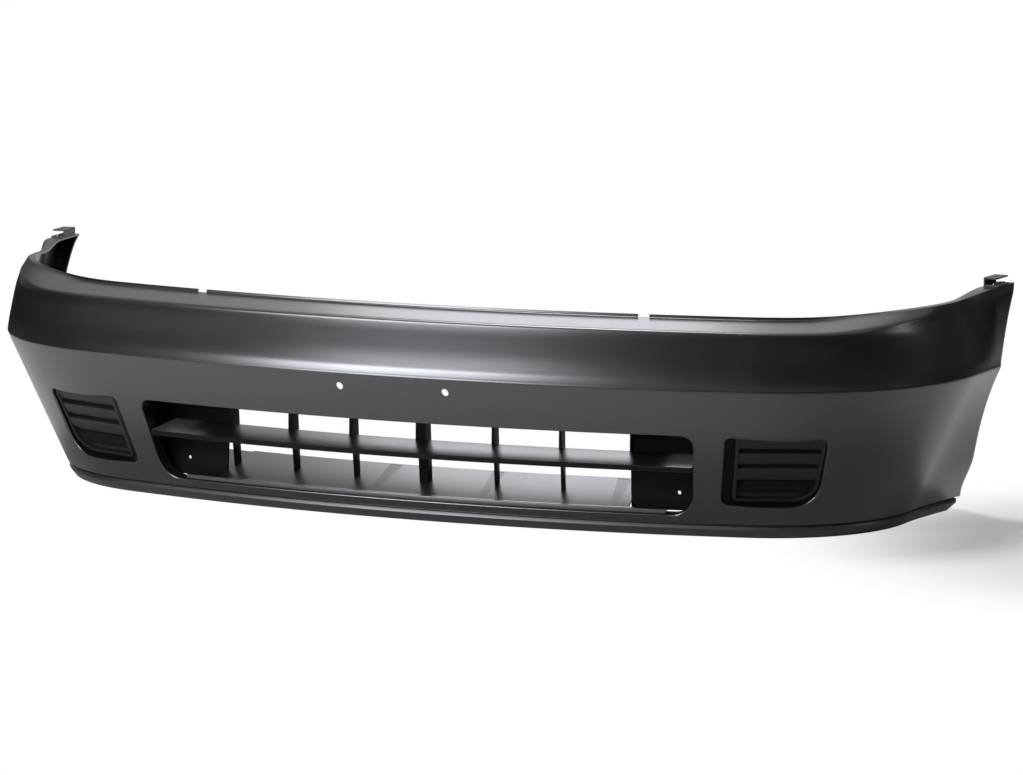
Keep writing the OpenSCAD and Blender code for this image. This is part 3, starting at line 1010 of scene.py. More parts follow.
def add_upright(bm: BMesh, path: CoverPath, outline: Sequence[Vector], turn: float, start: float,
                width: float, rounding: float = 0.0006) -> None:
    """Adds an upright plate that stands across the bowed front.

    Args:
        bm: The mesh to add to.
        path: The plan, for the bow's centre.
        outline: Points of inset and height.
        turn: Heading of the plate.
        start: Sideways place of its first face from the heading line.
        width: Its thickness.
        rounding: Rounding of its edges.
    """
    put = (Matrix.Translation(path.bow_centre) @ Matrix.Rotation(turn, 4, "Z")
           @ Matrix.Translation((start, -path.front_radius, 0)))
    verts = add_prism(bm, [put @ Vector((0, d, z)) for d, z in outline], put.to_3x3() @ Vector((width, 0, 0)))
    ends = [f for f in faces_of(verts) if len(f.verts) == len(outline)]
    round_edges(bm, {e for f in ends for e in f.edges}, rounding)


@dataclass(frozen=True)
class FastenerPlaces:
    """Where the clips and screws go, as the solids have them, and the bores for them."""

    path: CoverPath
    clip_x: tuple[float, ...] = (0.340, 0.600)
    clip_inset: float = 0.1238
    clip_bore: float = 0.0042
    screw_x: tuple[float, ...] = (0.190, 0.380)
    screw_inset: float = 0.055
    screw_bore: float = 0.0026
    corner_margin: float = 0.03

    def clip_y(self, x: float) -> float:
        """Y of the lip clip at a distance x from the middle, on the bow or on the corner.

        Args:
            x: Distance of the clip from the middle.

        Returns:
            Its Y.
        """
        if x < self.path.front_radius * math.sin(self.path.front_angle) - self.corner_margin:
            return self.path.bowed(self.clip_inset, x)
        cx, cy = self.path.corner_centre
        reach = math.sqrt((self.path.corner_radius - self.clip_inset) ** 2 - (x - cx) ** 2)
        return cy - reach - self.path.depth_offset

    def drill_clips(self, bm: BMesh, side: Side, z: float, length: float) -> None:
        """Adds the cutters for the lip clips of one half."""
        for x in self.clip_x:
            add_drill(bm, Matrix.Translation((side.value * x, self.clip_y(x), z)), self.clip_bore, length)

    def drill_screws(self, bm: BMesh, side: Side, z: float, length: float) -> None:
        """Adds the cutters for the grille screws of one half.

        Args:
            bm: The mesh of cutters.
            side: The half.
            z: Height of their middle.
            length: Their length.
        """
        for x in self.screw_x:
            y = self.path.bowed(self.screw_inset, x)
            add_drill(bm, Matrix.Translation((side.value * x, y, z)), self.screw_bore, length)


@dataclass
class SkinShell:
    """The moulded skin: one sheet with its openings and returns, then thickened and drilled.

    A mesh row is a place up the section, as SkinSection.outer takes it. A mesh column is a share
    of the way to the wing's start, and past 1 it is 1 and a share of the wing.
    """

    path: CoverPath
    section: SkinSection
    lamp: LampFrame
    wall: float = 0.003
    edge_round: float = 0.0025
    grille_return: float = 0.030
    grille: Outline = Outline(
        ((-0.455, 0.036), (0.455, 0.036), (0.472, 0.170), (-0.472, 0.170)), (0.040, 0.040, 0.016, 0.016))
    grille_reach: float = 1.0
    lamp_reach: float = 0.05
    lamp_from_x: float = 0.4
    lamp_seat: float = 0.014
    lamp_edge_gap: float = 0.0004
    arch_flange: float = 0.027
    arch_column: float = 1.999
    arch_rows: Pair = (1.4, 11.99)
    notch_x: float = 0.375
    notch_half: float = 0.008
    notch_row: float = 12.3
    plate_x: float = 0.089
    plate_z: float = 0.225
    plate_radius: float = 0.006
    plate_drill: float = 0.03
    clip_drill: float = 0.02
    screw_z: float = 0.172
    screw_drill: float = 0.012
    bracket_mid: float = 0.145
    bracket_inset: float = 0.008
    bracket_z: float = 0.375
    bracket_holes: tuple[Triple, ...] = (
        (-0.018, 0.010, 0.00255), (0.018, 0.010, 0.00255), (0.0, 0.013, 0.008))
    nut_angles: Pair = (math.radians(20), math.radians(-22))
    nut_radius: float = 0.0035
    nut_edge: float = 0.010
    peg_bore: float = 0.007
    boss_radius: float = 0.014
    boss_bore: float = 0.5
    boss_gap: float = 0.0001
    wing_columns: int = 26
    wing_guess: float = 0.18
    wing_rounds: int = 4
    solve_rounds: int = 6
    solve_step: float = 1e-5
    relax_rounds: int = 4
    relax_share: float = 0.5
    stretches: tuple[int, ...] = (3, 4, 48, 4, 4, 3, 4, 4, 4, 5, 6, 9, 3, 2)
    top_row: float = 13.9999
    spacing: tuple[Pair, ...] = (
        (0.366, 0.012), (0.384, 0.004), (0.430, 0.010), (0.492, 0.004), (0.512, 0.006), (0.724, 0.0045),
        (1.0163, 0.008))

    @cached_property
    def lamp_inverse(self) -> Matrix:
        """Takes a point of the right half into the lamp opening's own frame."""
        return self.lamp.matrix.inverted()

    def columns(self) -> list[float]:
        """The mesh columns, from the left wing to the right one.

        Returns:
            The columns, in order.
        """
        bend = self.path.bend_length
        half, at = [0.0], 0.0
        for end, step in self.spacing:
            end = min(end, bend)
            count = max(1, round((end - at) / step))
            half += [at + (end - at) * k / count for k in range(1, count + 1)]
            at = end
        half = [s / bend for s in half] + [1 + k / self.wing_columns for k in range(1, self.wing_columns + 1)]
        return [-u for u in reversed(half[1:])] + half

    def rows(self) -> list[float]:
        """The mesh rows, from the flange to the top edge.

        Returns:
            The rows, in order.
        """
        made = [0.0]
        for k, count in enumerate(self.stretches):
            made += [k + i / count for i in range(1, count + 1)]
        return [min(v, self.top_row) for v in made]

    def spot(self, u: float, v: float) -> Vector:
        """A point of the outer surface.

        Args:
            u: Its column.
            v: Its row.

        Returns:
            The point.
        """
        side, share = math.copysign(1.0, u), abs(u)
        if share <= 1.0:
            place = self.path.bend(share * self.path.bend_length)
            return self.path.point(place, side, *self.section.outer(place, v))
        reach = self.wing_guess
        for _ in range(self.wing_rounds):
            place = self.path.wing((share - 1) * reach)
            d, z = self.section.outer(place, v)
            reach = self.path.arch_reach(d, z, self.edge_round)
        return self.path.point(place, side, d, z)

    def face_point(self, u: float, z: float) -> Vector:
        """The point of the lower face at a column and a height, before the wings."""
        place = self.path.bend(abs(u) * self.path.bend_length)
        return self.path.point(place, math.copysign(1.0, u), self.section.low_inset(place, z), z)

    def flat_grille(self, p: Vector) -> Vector:
        """A point seen along the grille opening's axis."""
        return Vector((p.x, p.z))

    def in_lamp(self, p: Vector) -> Vector:
        """A point in the frame of the lamp opening on its own side."""
        return self.lamp_inverse @ Vector((abs(p.x), p.y, p.z))

    def flat_lamp(self, p: Vector) -> Vector:
        """A point seen along the axis of the lamp opening on its own side."""
        return self.in_lamp(p).xz

    def solve(self, u: float, z: float, flat: Callable[[Vector], Vector], aim: Vector) -> Pair:
        """Finds the column and height whose point is seen at an aim.

        Args:
            u: First guess of the column.
            z: First guess of the height.
            flat: The opening's own view of a point.
            aim: Where the point should be seen.

        Returns:
            The column and the height.
        """
        step = self.solve_step
        for _ in range(self.solve_rounds):
            here = flat(self.face_point(u, z))
            along = (flat(self.face_point(u + step, z)) - here) / step
            up = (flat(self.face_point(u, z + step)) - here) / step
            miss = aim - here
            det = along.x * up.y - along.y * up.x
            u += (miss.x * up.y - miss.y * up.x) / det
            z += (along.x * miss.y - along.y * miss.x) / det
        return u, z

    def open_up(self, bm: BMesh, outline: Outline, side: float, flat: Callable[[Vector], Vector]
                ) -> tuple[list[BMEdge], dict[BMVert, tuple[Vector, Vector]]]:
        """Cuts an opening in the lower face and fits the mesh to its outline.

        Args:
            bm: The sheet.
            outline: The opening at its outer edge.
            side: Sign of the half it is in, or 0 for an opening across the middle.
            flat: The opening's own view of a point.

        Returns:
            The edges round the opening, and for each point its outline place and normal.
        """
        col, height = bm.verts.layers.float["column"], bm.verts.layers.float["height"]
        ring = outline.points()
        reach = max(p.length for p in ring) + self.lamp_reach if side else self.grille_reach

        def within(face: BMFace) -> bool:
            """Whether the face lies in the opening.

            Args:
                face: The face.

            Returns:
                True if it has to go.
            """
            if any(v[height] <= 0 for v in face.verts):
                return False
            middle = face.calc_center_median()
            if side and middle.x * side < self.lamp_from_x:
                return False
            p = flat(middle)
            return p.length < reach and outline.nearest(p, ring)[2] < 0

        gone = [f for f in bm.faces if within(f)]
        touched = {v for f in gone for v in f.verts}
        bmesh.ops.delete(bm, geom=gone, context="FACES")
        touched = {v for v in touched if v.is_valid}
        rim = {e for v in touched for e in v.link_edges if e.is_boundary and set(e.verts) <= touched}
        spots = {}
        for v in touched:
            point, normal, _ = outline.nearest(flat(v.co), ring)
            v[col], v[height] = self.solve(v[col], v[height], flat, point)
            v.co = self.face_point(v[col], v[height])
            spots[v] = (point, normal)
        self.relax(bm, touched)
        return list(rim), spots

    def relax(self, bm: BMesh, touched: set[BMVert]) -> None:
        """Evens out the mesh of the lower face round an opening.

        Args:
            bm: The sheet.
            touched: The points of the opening's edge, which stay.
        """
        col, height = bm.verts.layers.float["column"], bm.verts.layers.float["height"]
        near = {e.other_vert(v) for v in touched for e in v.link_edges} - touched
        near |= {e.other_vert(v) for v in near for e in v.link_edges} - touched
        near = [v for v in near if v[height] > 0]
        for _ in range(self.relax_rounds):
            fresh = {}
            for v in near:
                others = [e.other_vert(v) for e in v.link_edges]
                if all(n[height] > 0 for n in others):
                    fresh[v] = [mix(v[layer], sum(n[layer] for n in others) / len(others), self.relax_share)
                                for layer in (col, height)]
            for v, (u, z) in fresh.items():
                v[col], v[height] = u, z
                v.co = self.face_point(u, z)

    def line_grille(self, bm: BMesh) -> None:
        """Opens the grille and adds its rounded edge and return walls.

        Args:
            bm: The sheet.
        """
        edges, spots = self.open_up(bm, self.grille.grown(self.edge_round), 0, self.flat_grille)
        base = {v: v.co.copy() for v in spots}

        def place(v: BMVert, step: Pair) -> Vector:
            """Place of a point of the edge at a step of the return.

            Args:
                v: The point.
                step: How far inwards and how deep.

            Returns:
                The new place.
            """
            inward, depth = step
            normal = spots[v][1]
            return base[v] + Vector((-normal.x * inward, depth, -normal.y * inward))

        extruded_rings(bm, edges, return_steps(self.edge_round, self.grille_return), place)

    def line_lamp(self, bm: BMesh, side: Side) -> None:
        """Opens one lamp recess and adds its rounded edge, walls and rear seat.

        Args:
            bm: The sheet.
            side: The half of the recess.
        """
        lamp, r = self.lamp, self.edge_round
        edges, spots = self.open_up(bm, lamp.outline.grown(r), side.value, self.flat_lamp)
        start = {v: self.in_lamp(v.co).y for v in spots}
        ring = lamp.blank_outline.points()
        seats = {v: Outline.nearest(lamp.sloped(p - n * r), ring)[:2] for v, (p, n) in spots.items()}
        floor = lamp.depth - self.wall
        rounded = [(spots, r * math.sin(t), lambda y, t=t: y + r * (1 - math.cos(t))) for t in ROUND_STEPS]
        walls = [(spots, r, lambda y: max(lamp.slope_start, y + r + self.lamp_edge_gap)),
                 (seats, 0.0, lambda y: lamp.blank_front), (seats, 0.0, lambda y: floor),
                 (seats, self.lamp_seat, lambda y: floor)]

        def place(v: BMVert, step: Sequence) -> Vector:
            """Place of a point of the edge at a step of the recess.

            Args:
                v: The point.
                step: The line it follows, how far inwards, and its depth.

            Returns:
                The new place.
            """
            line, inward, depth = step
            point, normal = line[v]
            q = point - normal * inward
            return side.put(lamp.matrix @ Vector((q.x, depth(start[v]), q.y)))

        rings = extruded_rings(bm, edges, rounded + walls, place)
        # The recess walls and rear seat take the second slot, darker plastic as painted shade inside the
        # recess.
        for face in {f for ring in rings[len(rounded):] for e in ring for f in e.link_faces}:
            face.material_index = 1

    def line_arch(self, bm: BMesh, side: Side) -> None:
        """Adds the rounded edge and the flange of one wheel arch.

        Args:
            bm: The sheet.
            side: The half of the arch.
        """
        col, row = bm.verts.layers.float["column"], bm.verts.layers.float["row"]
        low, high = self.arch_rows
        edges = [e for e in bm.edges if e.is_boundary
                 and all(v[col] * side.value > self.arch_column and low < v[row] < high for v in e.verts)]
        turn = self.path.wing_angle
        back = side.put(Vector((math.cos(turn), math.sin(turn), 0)))
        inside = side.put(Vector((-1, 0, 0)))
        base = {v: v.co.copy() for e in edges for v in e.verts}
        extruded_rings(bm, edges, return_steps(self.edge_round, self.arch_flange),
                       lambda v, step: base[v] + back * step[0] + inside * step[1])

    def sheet(self) -> BMesh:
        """The outer surface as one sheet, with its openings, returns and notches.

        Returns:
            The sheet.
        """
        columns, rows = self.columns(), self.rows()
        bm = bmesh.new()
        bmesh.ops.create_grid(bm, x_segments=len(columns) - 1, y_segments=len(rows) - 1, size=1.0)
        col, row, height = (bm.verts.layers.float.new(name) for name in ("column", "row", "height"))
        for v in bm.verts:
            u = columns[round((v.co.x + 1) / 2 * (len(columns) - 1))]
            k = rows[round((v.co.y + 1) / 2 * (len(rows) - 1))]
            v.co = self.spot(u, k)
            v[col], v[row] = u, k
            on_face = Stretch.LOWER_FACE <= k <= Stretch.CREASE and abs(u) <= 1
            v[height] = v.co.z if on_face else 0.0
        notches = [f for f in bm.faces if all(v[row] > self.notch_row for v in f.verts)
                   and abs(abs(f.calc_center_median().x) - self.notch_x) < self.notch_half]
        bmesh.ops.delete(bm, geom=notches, context="FACES")
        self.line_grille(bm)
        for side in Side:
            self.line_lamp(bm, side)
            self.line_arch(bm, side)
        return bm

    def bracket_drills(self, bm: BMesh, side: Side) -> None:
        """Adds the cutters for the rivets and the driver under one wing bracket.

        Args:
            bm: The mesh of cutters.
            side: The half of the bracket.
        """
        place = self.path.wing(self.bracket_mid)
        seat = Matrix.Translation(self.path.point(place, 1.0, self.bracket_inset, self.bracket_z))
        seat = seat @ Matrix.Rotation(self.path.wing_angle, 4, "Z")
        for along, inwards, radius in self.bracket_holes:
            add_drill(bm, Matrix.Translation(side.put(seat @ Vector((along, inwards, 0)))), radius)

    def arch_drills(self, bm: BMesh, side: Side) -> None:
        """Adds the cutters for the sheet nuts of one wheel arch.

        Args:
            bm: The mesh of cutters.
            side: The half of the arch.
        """
        path = self.path
        middle = path.wing(path.wing_length / 2)
        reach = path.arch_radius + self.wall / 2
        for a in self.nut_angles:
            y = path.arch_front + path.arch_radius - reach * math.cos(a)
            z = path.arch_z + reach * math.sin(a)
            inset = self.wall if z > self.section.crease_z else self.section.low_inset(middle, z)
            inset += self.arch_flange - self.nut_edge
            spot = path.point(path.wing(path.along_wing(y, inset)), side.value, inset, z)
            add_drill(bm, aimed(spot, Vector((0, math.cos(a), -math.sin(a)))), self.nut_radius)

    def drills(self, fasteners: FastenerPlaces) -> BMesh:
        """Cutters for the round holes of the skin.

        Args:
            fasteners: Where the fasteners go through the skin.

        Returns:
            The mesh of cutters.
        """
        bm = bmesh.new()
        plate_inset = self.section.lean * (self.section.crease_z - self.plate_z)
        plate = Vector((self.plate_x, self.path.bowed(plate_inset, self.plate_x), self.plate_z))
        peg_axis = self.lamp.matrix.to_3x3() @ Vector((0, -1, 0))
        for side in Side:
            add_drill(bm, Matrix.Translation(side.put(plate)) @ ALONG_Y, self.plate_radius, self.plate_drill)
            fasteners.drill_clips(bm, side, self.section.bottom_z, self.clip_drill)
            fasteners.drill_screws(bm, side, self.screw_z, self.screw_drill)
            self.bracket_drills(bm, side)
            self.arch_drills(bm, side)
            for px, pz in self.lamp.pegs:
                spot = self.lamp.matrix @ Vector((px, self.lamp.depth, pz))
                add_drill(bm, aimed(side.put(spot), side.put(peg_axis)), self.peg_bore)
        return bm

    def bosses(self, bm: BMesh) -> None:
        """Adds the round peg bosses of the lamp seats to a bmesh.

        Args:
            bm: The mesh to add to.
        """
        sink = Vector((0, 0, -self.wall))
        depth = self.lamp.depth - self.wall + self.boss_gap
        for side in Side:
            for px, pz in self.lamp.pegs:
                made = bmesh.ops.create_circle(bm, segments=ROUND_SIDES, radius=self.boss_radius)["verts"]
                ring = list({e for v in made for e in v.link_edges})
                inner, _ = extruded_ring(bm, ring, lambda v: v.co * self.boss_bore)
                rear, _ = extruded_ring(bm, inner, lambda v: v.co + sink)
                front, _ = extruded_ring(bm, ring, lambda v: v.co + sink)
                bmesh.ops.bridge_loops(bm, edges=rear + front)
                every = list({v for e in rear + front + ring + inner for v in e.verts})
                put = self.lamp.matrix @ Matrix.Translation((px, depth, pz)) @ ALONG_Y
                bmesh.ops.transform(bm, matrix=put, verts=every)
                side.flip(bm, every)
                bmesh.ops.recalc_face_normals(bm, faces=faces_of(every))

    def build(self, fasteners: FastenerPlaces) -> None:
        """Makes the skin and dresses it.

        Args:
            fasteners: Where the fasteners go through the skin.
        """
        bm = self.sheet()
        bm.normal_update()
        probe = max(bm.faces, key=lambda f: -f.calc_center_median().y)
        if probe.normal.y > 0:
            bmesh.ops.reverse_faces(bm, faces=bm.faces[:])
        # The second slot darkens the lamp recess walls and seat as painted shade.
        obj = as_object(bm, "skin", SKIN_FINISH, PAINTED_SHADE_FINISH)
        thick = obj.modifiers.new("wall", "SOLIDIFY")
        thick.thickness, thick.offset = self.wall, -1.0
        baked(obj)
        cut_with(obj, self.drills(fasteners))
        bm = bmesh.new()
        bm.from_mesh(obj.data)
        self.bosses(bm)
        bm.to_mesh(obj.data)
        bm.free()
        shade(obj.data)
        dress(obj, "cover", "bumper_skin")


@dataclass
class LowerLip:
    """The strip below the seam: one profile swept along the cover and cut slanting at its ends.

    The line holds the profile's insets from the skin's bottom edge, and its heights.
    """

    path: CoverPath
    section: SkinSection
    line: tuple[Pair, ...] = (
        (0.0048, 0.0196), (0.002, 0.0130), (0.012, 0.0), (0.017, 0.0), (0.011, 0.018), (0.030, 0.018),
        (0.030, 0.022), (0.008, 0.022), (0.008, 0.019))
    round_off: float = 0.0012
    end_low: Pair = (0.538, 0.0)
    end_high: Pair = (0.5535, 0.019)
    reach: float = 0.230
    bend_steps: int = 90
    wing_steps: int = 14
    clip_z: float = 0.020
    clip_drill: float = 0.012

    def profile(self, place: Place, sign: float) -> list[Vector]:
        """The rounded profile.

        Args:
            place: Where along the plan.
            sign: Sign of the half.

        Returns:
            Its points.
        """
        edge = self.section.low_inset(place, self.section.bottom_z)
        points = softened([(edge + d, z) for d, z in self.line], self.round_off)
        return [self.path.point(place, sign, d, z) for d, z in points]

    def build(self, fasteners: FastenerPlaces) -> None:
        """Makes the lip and dresses it.

        Args:
            fasteners: Where the clips go through the lip.
        """
        bend = self.path.bend_length
        half = [self.path.bend(bend * k / self.bend_steps) for k in range(self.bend_steps + 1)]
        half += [self.path.wing(self.reach * k / self.wing_steps) for k in range(1, self.wing_steps + 1)]
        stations = [(p, -1.0) for p in reversed(half[1:])] + [(p, 1.0) for p in half]
        profiles = [self.profile(*station) for station in stations]
        bm = bmesh.new()
        verts = [bm.verts.new(p) for p in profiles[0]]
        order = {v: k for k, v in enumerate(verts)}
        first = [bm.edges.new((verts[k - 1], verts[k])) for k in range(len(verts))]
        rings = extruded_rings(bm, first, profiles[1:], lambda v, spots: spots[order[v]])
        for loop in (first, rings[-1]):
            bmesh.ops.contextual_create(bm, geom=loop)
        (low_y, low_z), (high_y, high_z) = self.end_low, self.end_high
        trim(bm, (0, low_y - self.path.depth_offset, low_z), (0, high_z - low_z, low_y - high_y))
        bmesh.ops.recalc_face_normals(bm, faces=bm.faces[:])
        obj = as_object(bm, "lip", LIP_FINISH)
        drills = bmesh.new()
        for side in Side:
            fasteners.drill_clips(drills, side, self.clip_z, self.clip_drill)
        cut_with(obj, drills)
        dress(obj, "cover", "lower_lip")


@dataclass
class GrilleInsert:
    """The grille insert: rail, middle blade, shelf and bottom plate on the bow, tied by upright ribs.

    The lines are points of inset and height.
    """

    path: CoverPath
    half_inset: float = 0.100
    bow_steps: int = 72
    edge: float = 0.0010
    rail_z: float = 0.173
    rail_wall: float = 0.003
    rail_insets: Pair = (0.046, 0.166)
    rail_half: float = 0.404
    screw_drill: float = 0.02
    blade: float = 0.004
    blade_half: float = 0.456
    blade_line: tuple[Pair, ...] = (
        (0.062, 0.117), (0.133, 0.128), (0.133, 0.124), (0.070, 0.114), (0.067, 0.109), (0.062, 0.109))
    nose_facing: float = -0.75
    shelf_half: float = 0.353
    shelf_front: Pair = (0.101, 0.042)
    shelf_rear: Pair = (0.210, 0.0717)
    backing: Pair = (0.32, 0.98)
    backing_below: Pair = (0.0004, 0.0036)
    slot_places: Triple = (-0.072, 0.106, 0.312)
    slot_edge: float = 0.007
    slot_size: Triple = (0.018, 0.004, 0.020)
    plate_half: float = 0.412
    plate_line: tuple[Pair, ...] = (
        (0.099, 0.036), (0.121, 0.036), (0.121, 0.039), (0.104, 0.044), (0.099, 0.043))
    rib: float = 0.004
    post: float = 0.016
    rib_inset: float = 0.140
    rib_places: Triple = (0.122, 0.232, 0.345)
    rib_top: Pair = (0.131, 0.156)
    rib_sink: float = 0.001
    rib_foot: Pair = (0.6, 0.45)
    rib_foot_sink: float = 0.002
    rib_knees: tuple[Pair, Pair] = ((0.142, 0.112), (0.131, 0.125))
    rib_round: float = 0.003

    def bow(self, bm: BMesh, half: float, profile: Sequence[Pair]) -> None:
        """Sweeps a profile along the bowed front.

        Args:
            bm: The mesh to add to.
            half: Half width of the sweep.
            profile: Corners of the profile.
        """
        turn = math.asin(half / (self.path.front_radius - self.half_inset))
        sweep_profile(bm, self.path, softened(profile, self.edge), -turn, turn, self.bow_steps)

    def on_shelf(self, share: float, below: float) -> Pair:
        """Inset and height of a point some way up the shelf and below its top."""
        return (mix(self.shelf_front[0], self.shelf_rear[0], share),
                mix(self.shelf_front[1], self.shelf_rear[1], share) - below)

    def upright(self, bm: BMesh, x: float, width: float) -> None:
        """Adds one upright rib.

        Args:
            bm: The mesh to add to.
            x: Its distance from the middle.
            width: Its thickness.
        """
        top = [(inset, self.rail_z + self.rib_sink) for inset in self.rib_top]
        foot = [self.on_shelf(share, self.rib_foot_sink) for share in self.rib_foot]
        knee, shoulder = self.rib_knees
        outline = softened([shoulder, *top, *foot, knee], self.rib_round)
        turn = math.asin(x / (self.path.front_radius - self.rib_inset))
        add_upright(bm, self.path, outline, turn, -width / 2, width)

    def rail(self, fasteners: FastenerPlaces) -> Object:
        """The drilled rail, as the object that the other parts join.

        Args:
            fasteners: Where the screws go through the rail.

        Returns:
            The object.
        """
        front, rear = self.rail_insets
        top = self.rail_z + self.rail_wall
        bm = bmesh.new()
        self.bow(bm, self.rail_half, ((front, self.rail_z), (rear, self.rail_z), (rear, top), (front, top)))
        obj = as_object(bm, "grille", GRILLE_FINISH, PAINTED_SHADE_FINISH)
        drills = bmesh.new()
        for side in Side:
            fasteners.drill_screws(drills, side, self.rail_z, self.screw_drill)
        cut_with(obj, drills)
        return obj

    def shelf(self) -> Object:
        """The leaning shelf with its slots, as an object.

        Returns:
            The object.
        """
        bm = bmesh.new()
        self.bow(bm, self.shelf_half, (self.shelf_front, self.shelf_rear, self.on_shelf(1, self.blade),
                                       self.on_shelf(0, self.blade)))
        obj = as_object(bm, "grille_shelf")
        slots = bmesh.new()
        for x in self.slot_places:
            y = self.path.bowed(self.shelf_rear[0] - self.slot_edge, x)
            place = Matrix.Translation((x, y, self.shelf_rear[1])) @ Matrix.Diagonal((*self.slot_size, 1.0))
            bmesh.ops.create_cube(slots, size=1.0, matrix=place)
        cut_with(obj, slots)
        return obj

    def build(self, fasteners: FastenerPlaces) -> None:
        """Makes the insert and dresses it; the blade's nose and the ribs take the darker plastic as painted
        shade.

        Args:
            fasteners: Where the screws go through the rail.
        """
        obj, shelf = self.rail(fasteners), self.shelf()
        bm = bmesh.new()
        for part in (obj, shelf):
            bm.from_mesh(part.data)
        bpy.data.objects.remove(shelf)
        before = set(bm.faces)
        self.bow(bm, self.blade_half, self.blade_line)
        shaded_nose_faces = [f for f in set(bm.faces) - before if f.normal.y < self.nose_facing]
        self.bow(bm, self.plate_half, self.plate_line)
        (start, end), (top, low) = self.backing, self.backing_below
        self.bow(bm, self.rail_half, (self.on_shelf(start, top), self.on_shelf(end, top),
                                      self.on_shelf(end, low), self.on_shelf(start, low)))
        before = set(bm.faces)
        for x in self.rib_places:
            for side in Side:
                self.upright(bm, side.value * x, self.rib)
        self.upright(bm, 0.0, self.post)
        # The nose and the ribs take the second slot, darker plastic as painted shade.
        for face in shaded_nose_faces + list(set(bm.faces) - before):
            face.material_index = 1
        bm.to_mesh(obj.data)
        bm.free()
        shade(obj.data, SLIM_SHARP_ANGLE)
        dress(obj, "cover", "grille_insert")


@dataclass
class GrilleBlank:
    """The closed end of the grille: a leaning panel with two low ribs and an outer wall.

    The lines are points of inset and height.
    """

    path: CoverPath
    insert: GrilleInsert
    gap: float = 0.0003
    out: float = 0.466
    panel_inset: float = 0.148
    panel_top: Pair = (0.141, 0.137)
    panel_line: tuple[Pair, ...] = (
        (0.1358, 0.153), (0.1332, 0.152), (0.1354, 0.147), (0.1328, 0.101), (0.1302, 0.100),
        (0.1324, 0.095), (0.129, 0.037), (0.133, 0.037))
    panel_round: float = 0.0008
    panel_steps: int = 16
    wall: float = 0.003
    wall_line: tuple[Pair, ...] = ((0.066, 0.168), (0.138, 0.168), (0.131, 0.042), (0.1243, 0.042))
    wall_round: float = 0.002
    hole: Triple = (0.423, -0.1, 0.065)
    hole_radius: float = 0.003
    hole_drill: float = 0.2

    def build(self, side: Side) -> None:
        """Makes the blank of one side and dresses it.

        Args:
            side: The half it belongs to.
        """
        insert, radius = self.insert, self.path.front_radius
        start = math.asin(insert.rib_places[-1] / (radius - insert.rib_inset))
        start += (insert.rib / 2 + self.gap) / (radius - self.panel_inset)
        end = math.asin(self.out / (radius - self.panel_inset))
        top = [(inset, insert.rail_z - self.gap) for inset in self.panel_top]
        panel = softened([*top, *self.panel_line], self.panel_round)
        wall = softened(self.wall_line, self.wall_round)
        bm = bmesh.new()
        sweep_profile(bm, self.path, panel, start, end, self.panel_steps)
        add_upright(bm, self.path, wall, end, -self.wall, self.wall)
        side.flip(bm, bm.verts)
        bmesh.ops.recalc_face_normals(bm, faces=bm.faces[:])
        # The whole end blank takes the darker plastic, as painted shade in the closed end of the opening.
        obj = as_object(bm, f"grille_blank_{side.word}_panel", PAINTED_SHADE_FINISH)
        drill = bmesh.new()
        hole = Matrix.Translation(side.put(Vector(self.hole))) @ ALONG_Y
        add_drill(drill, hole, self.hole_radius, self.hole_drill)
        cut_with(obj, drill)
        dress(obj, "cover", f"grille_blank_{side.word}")


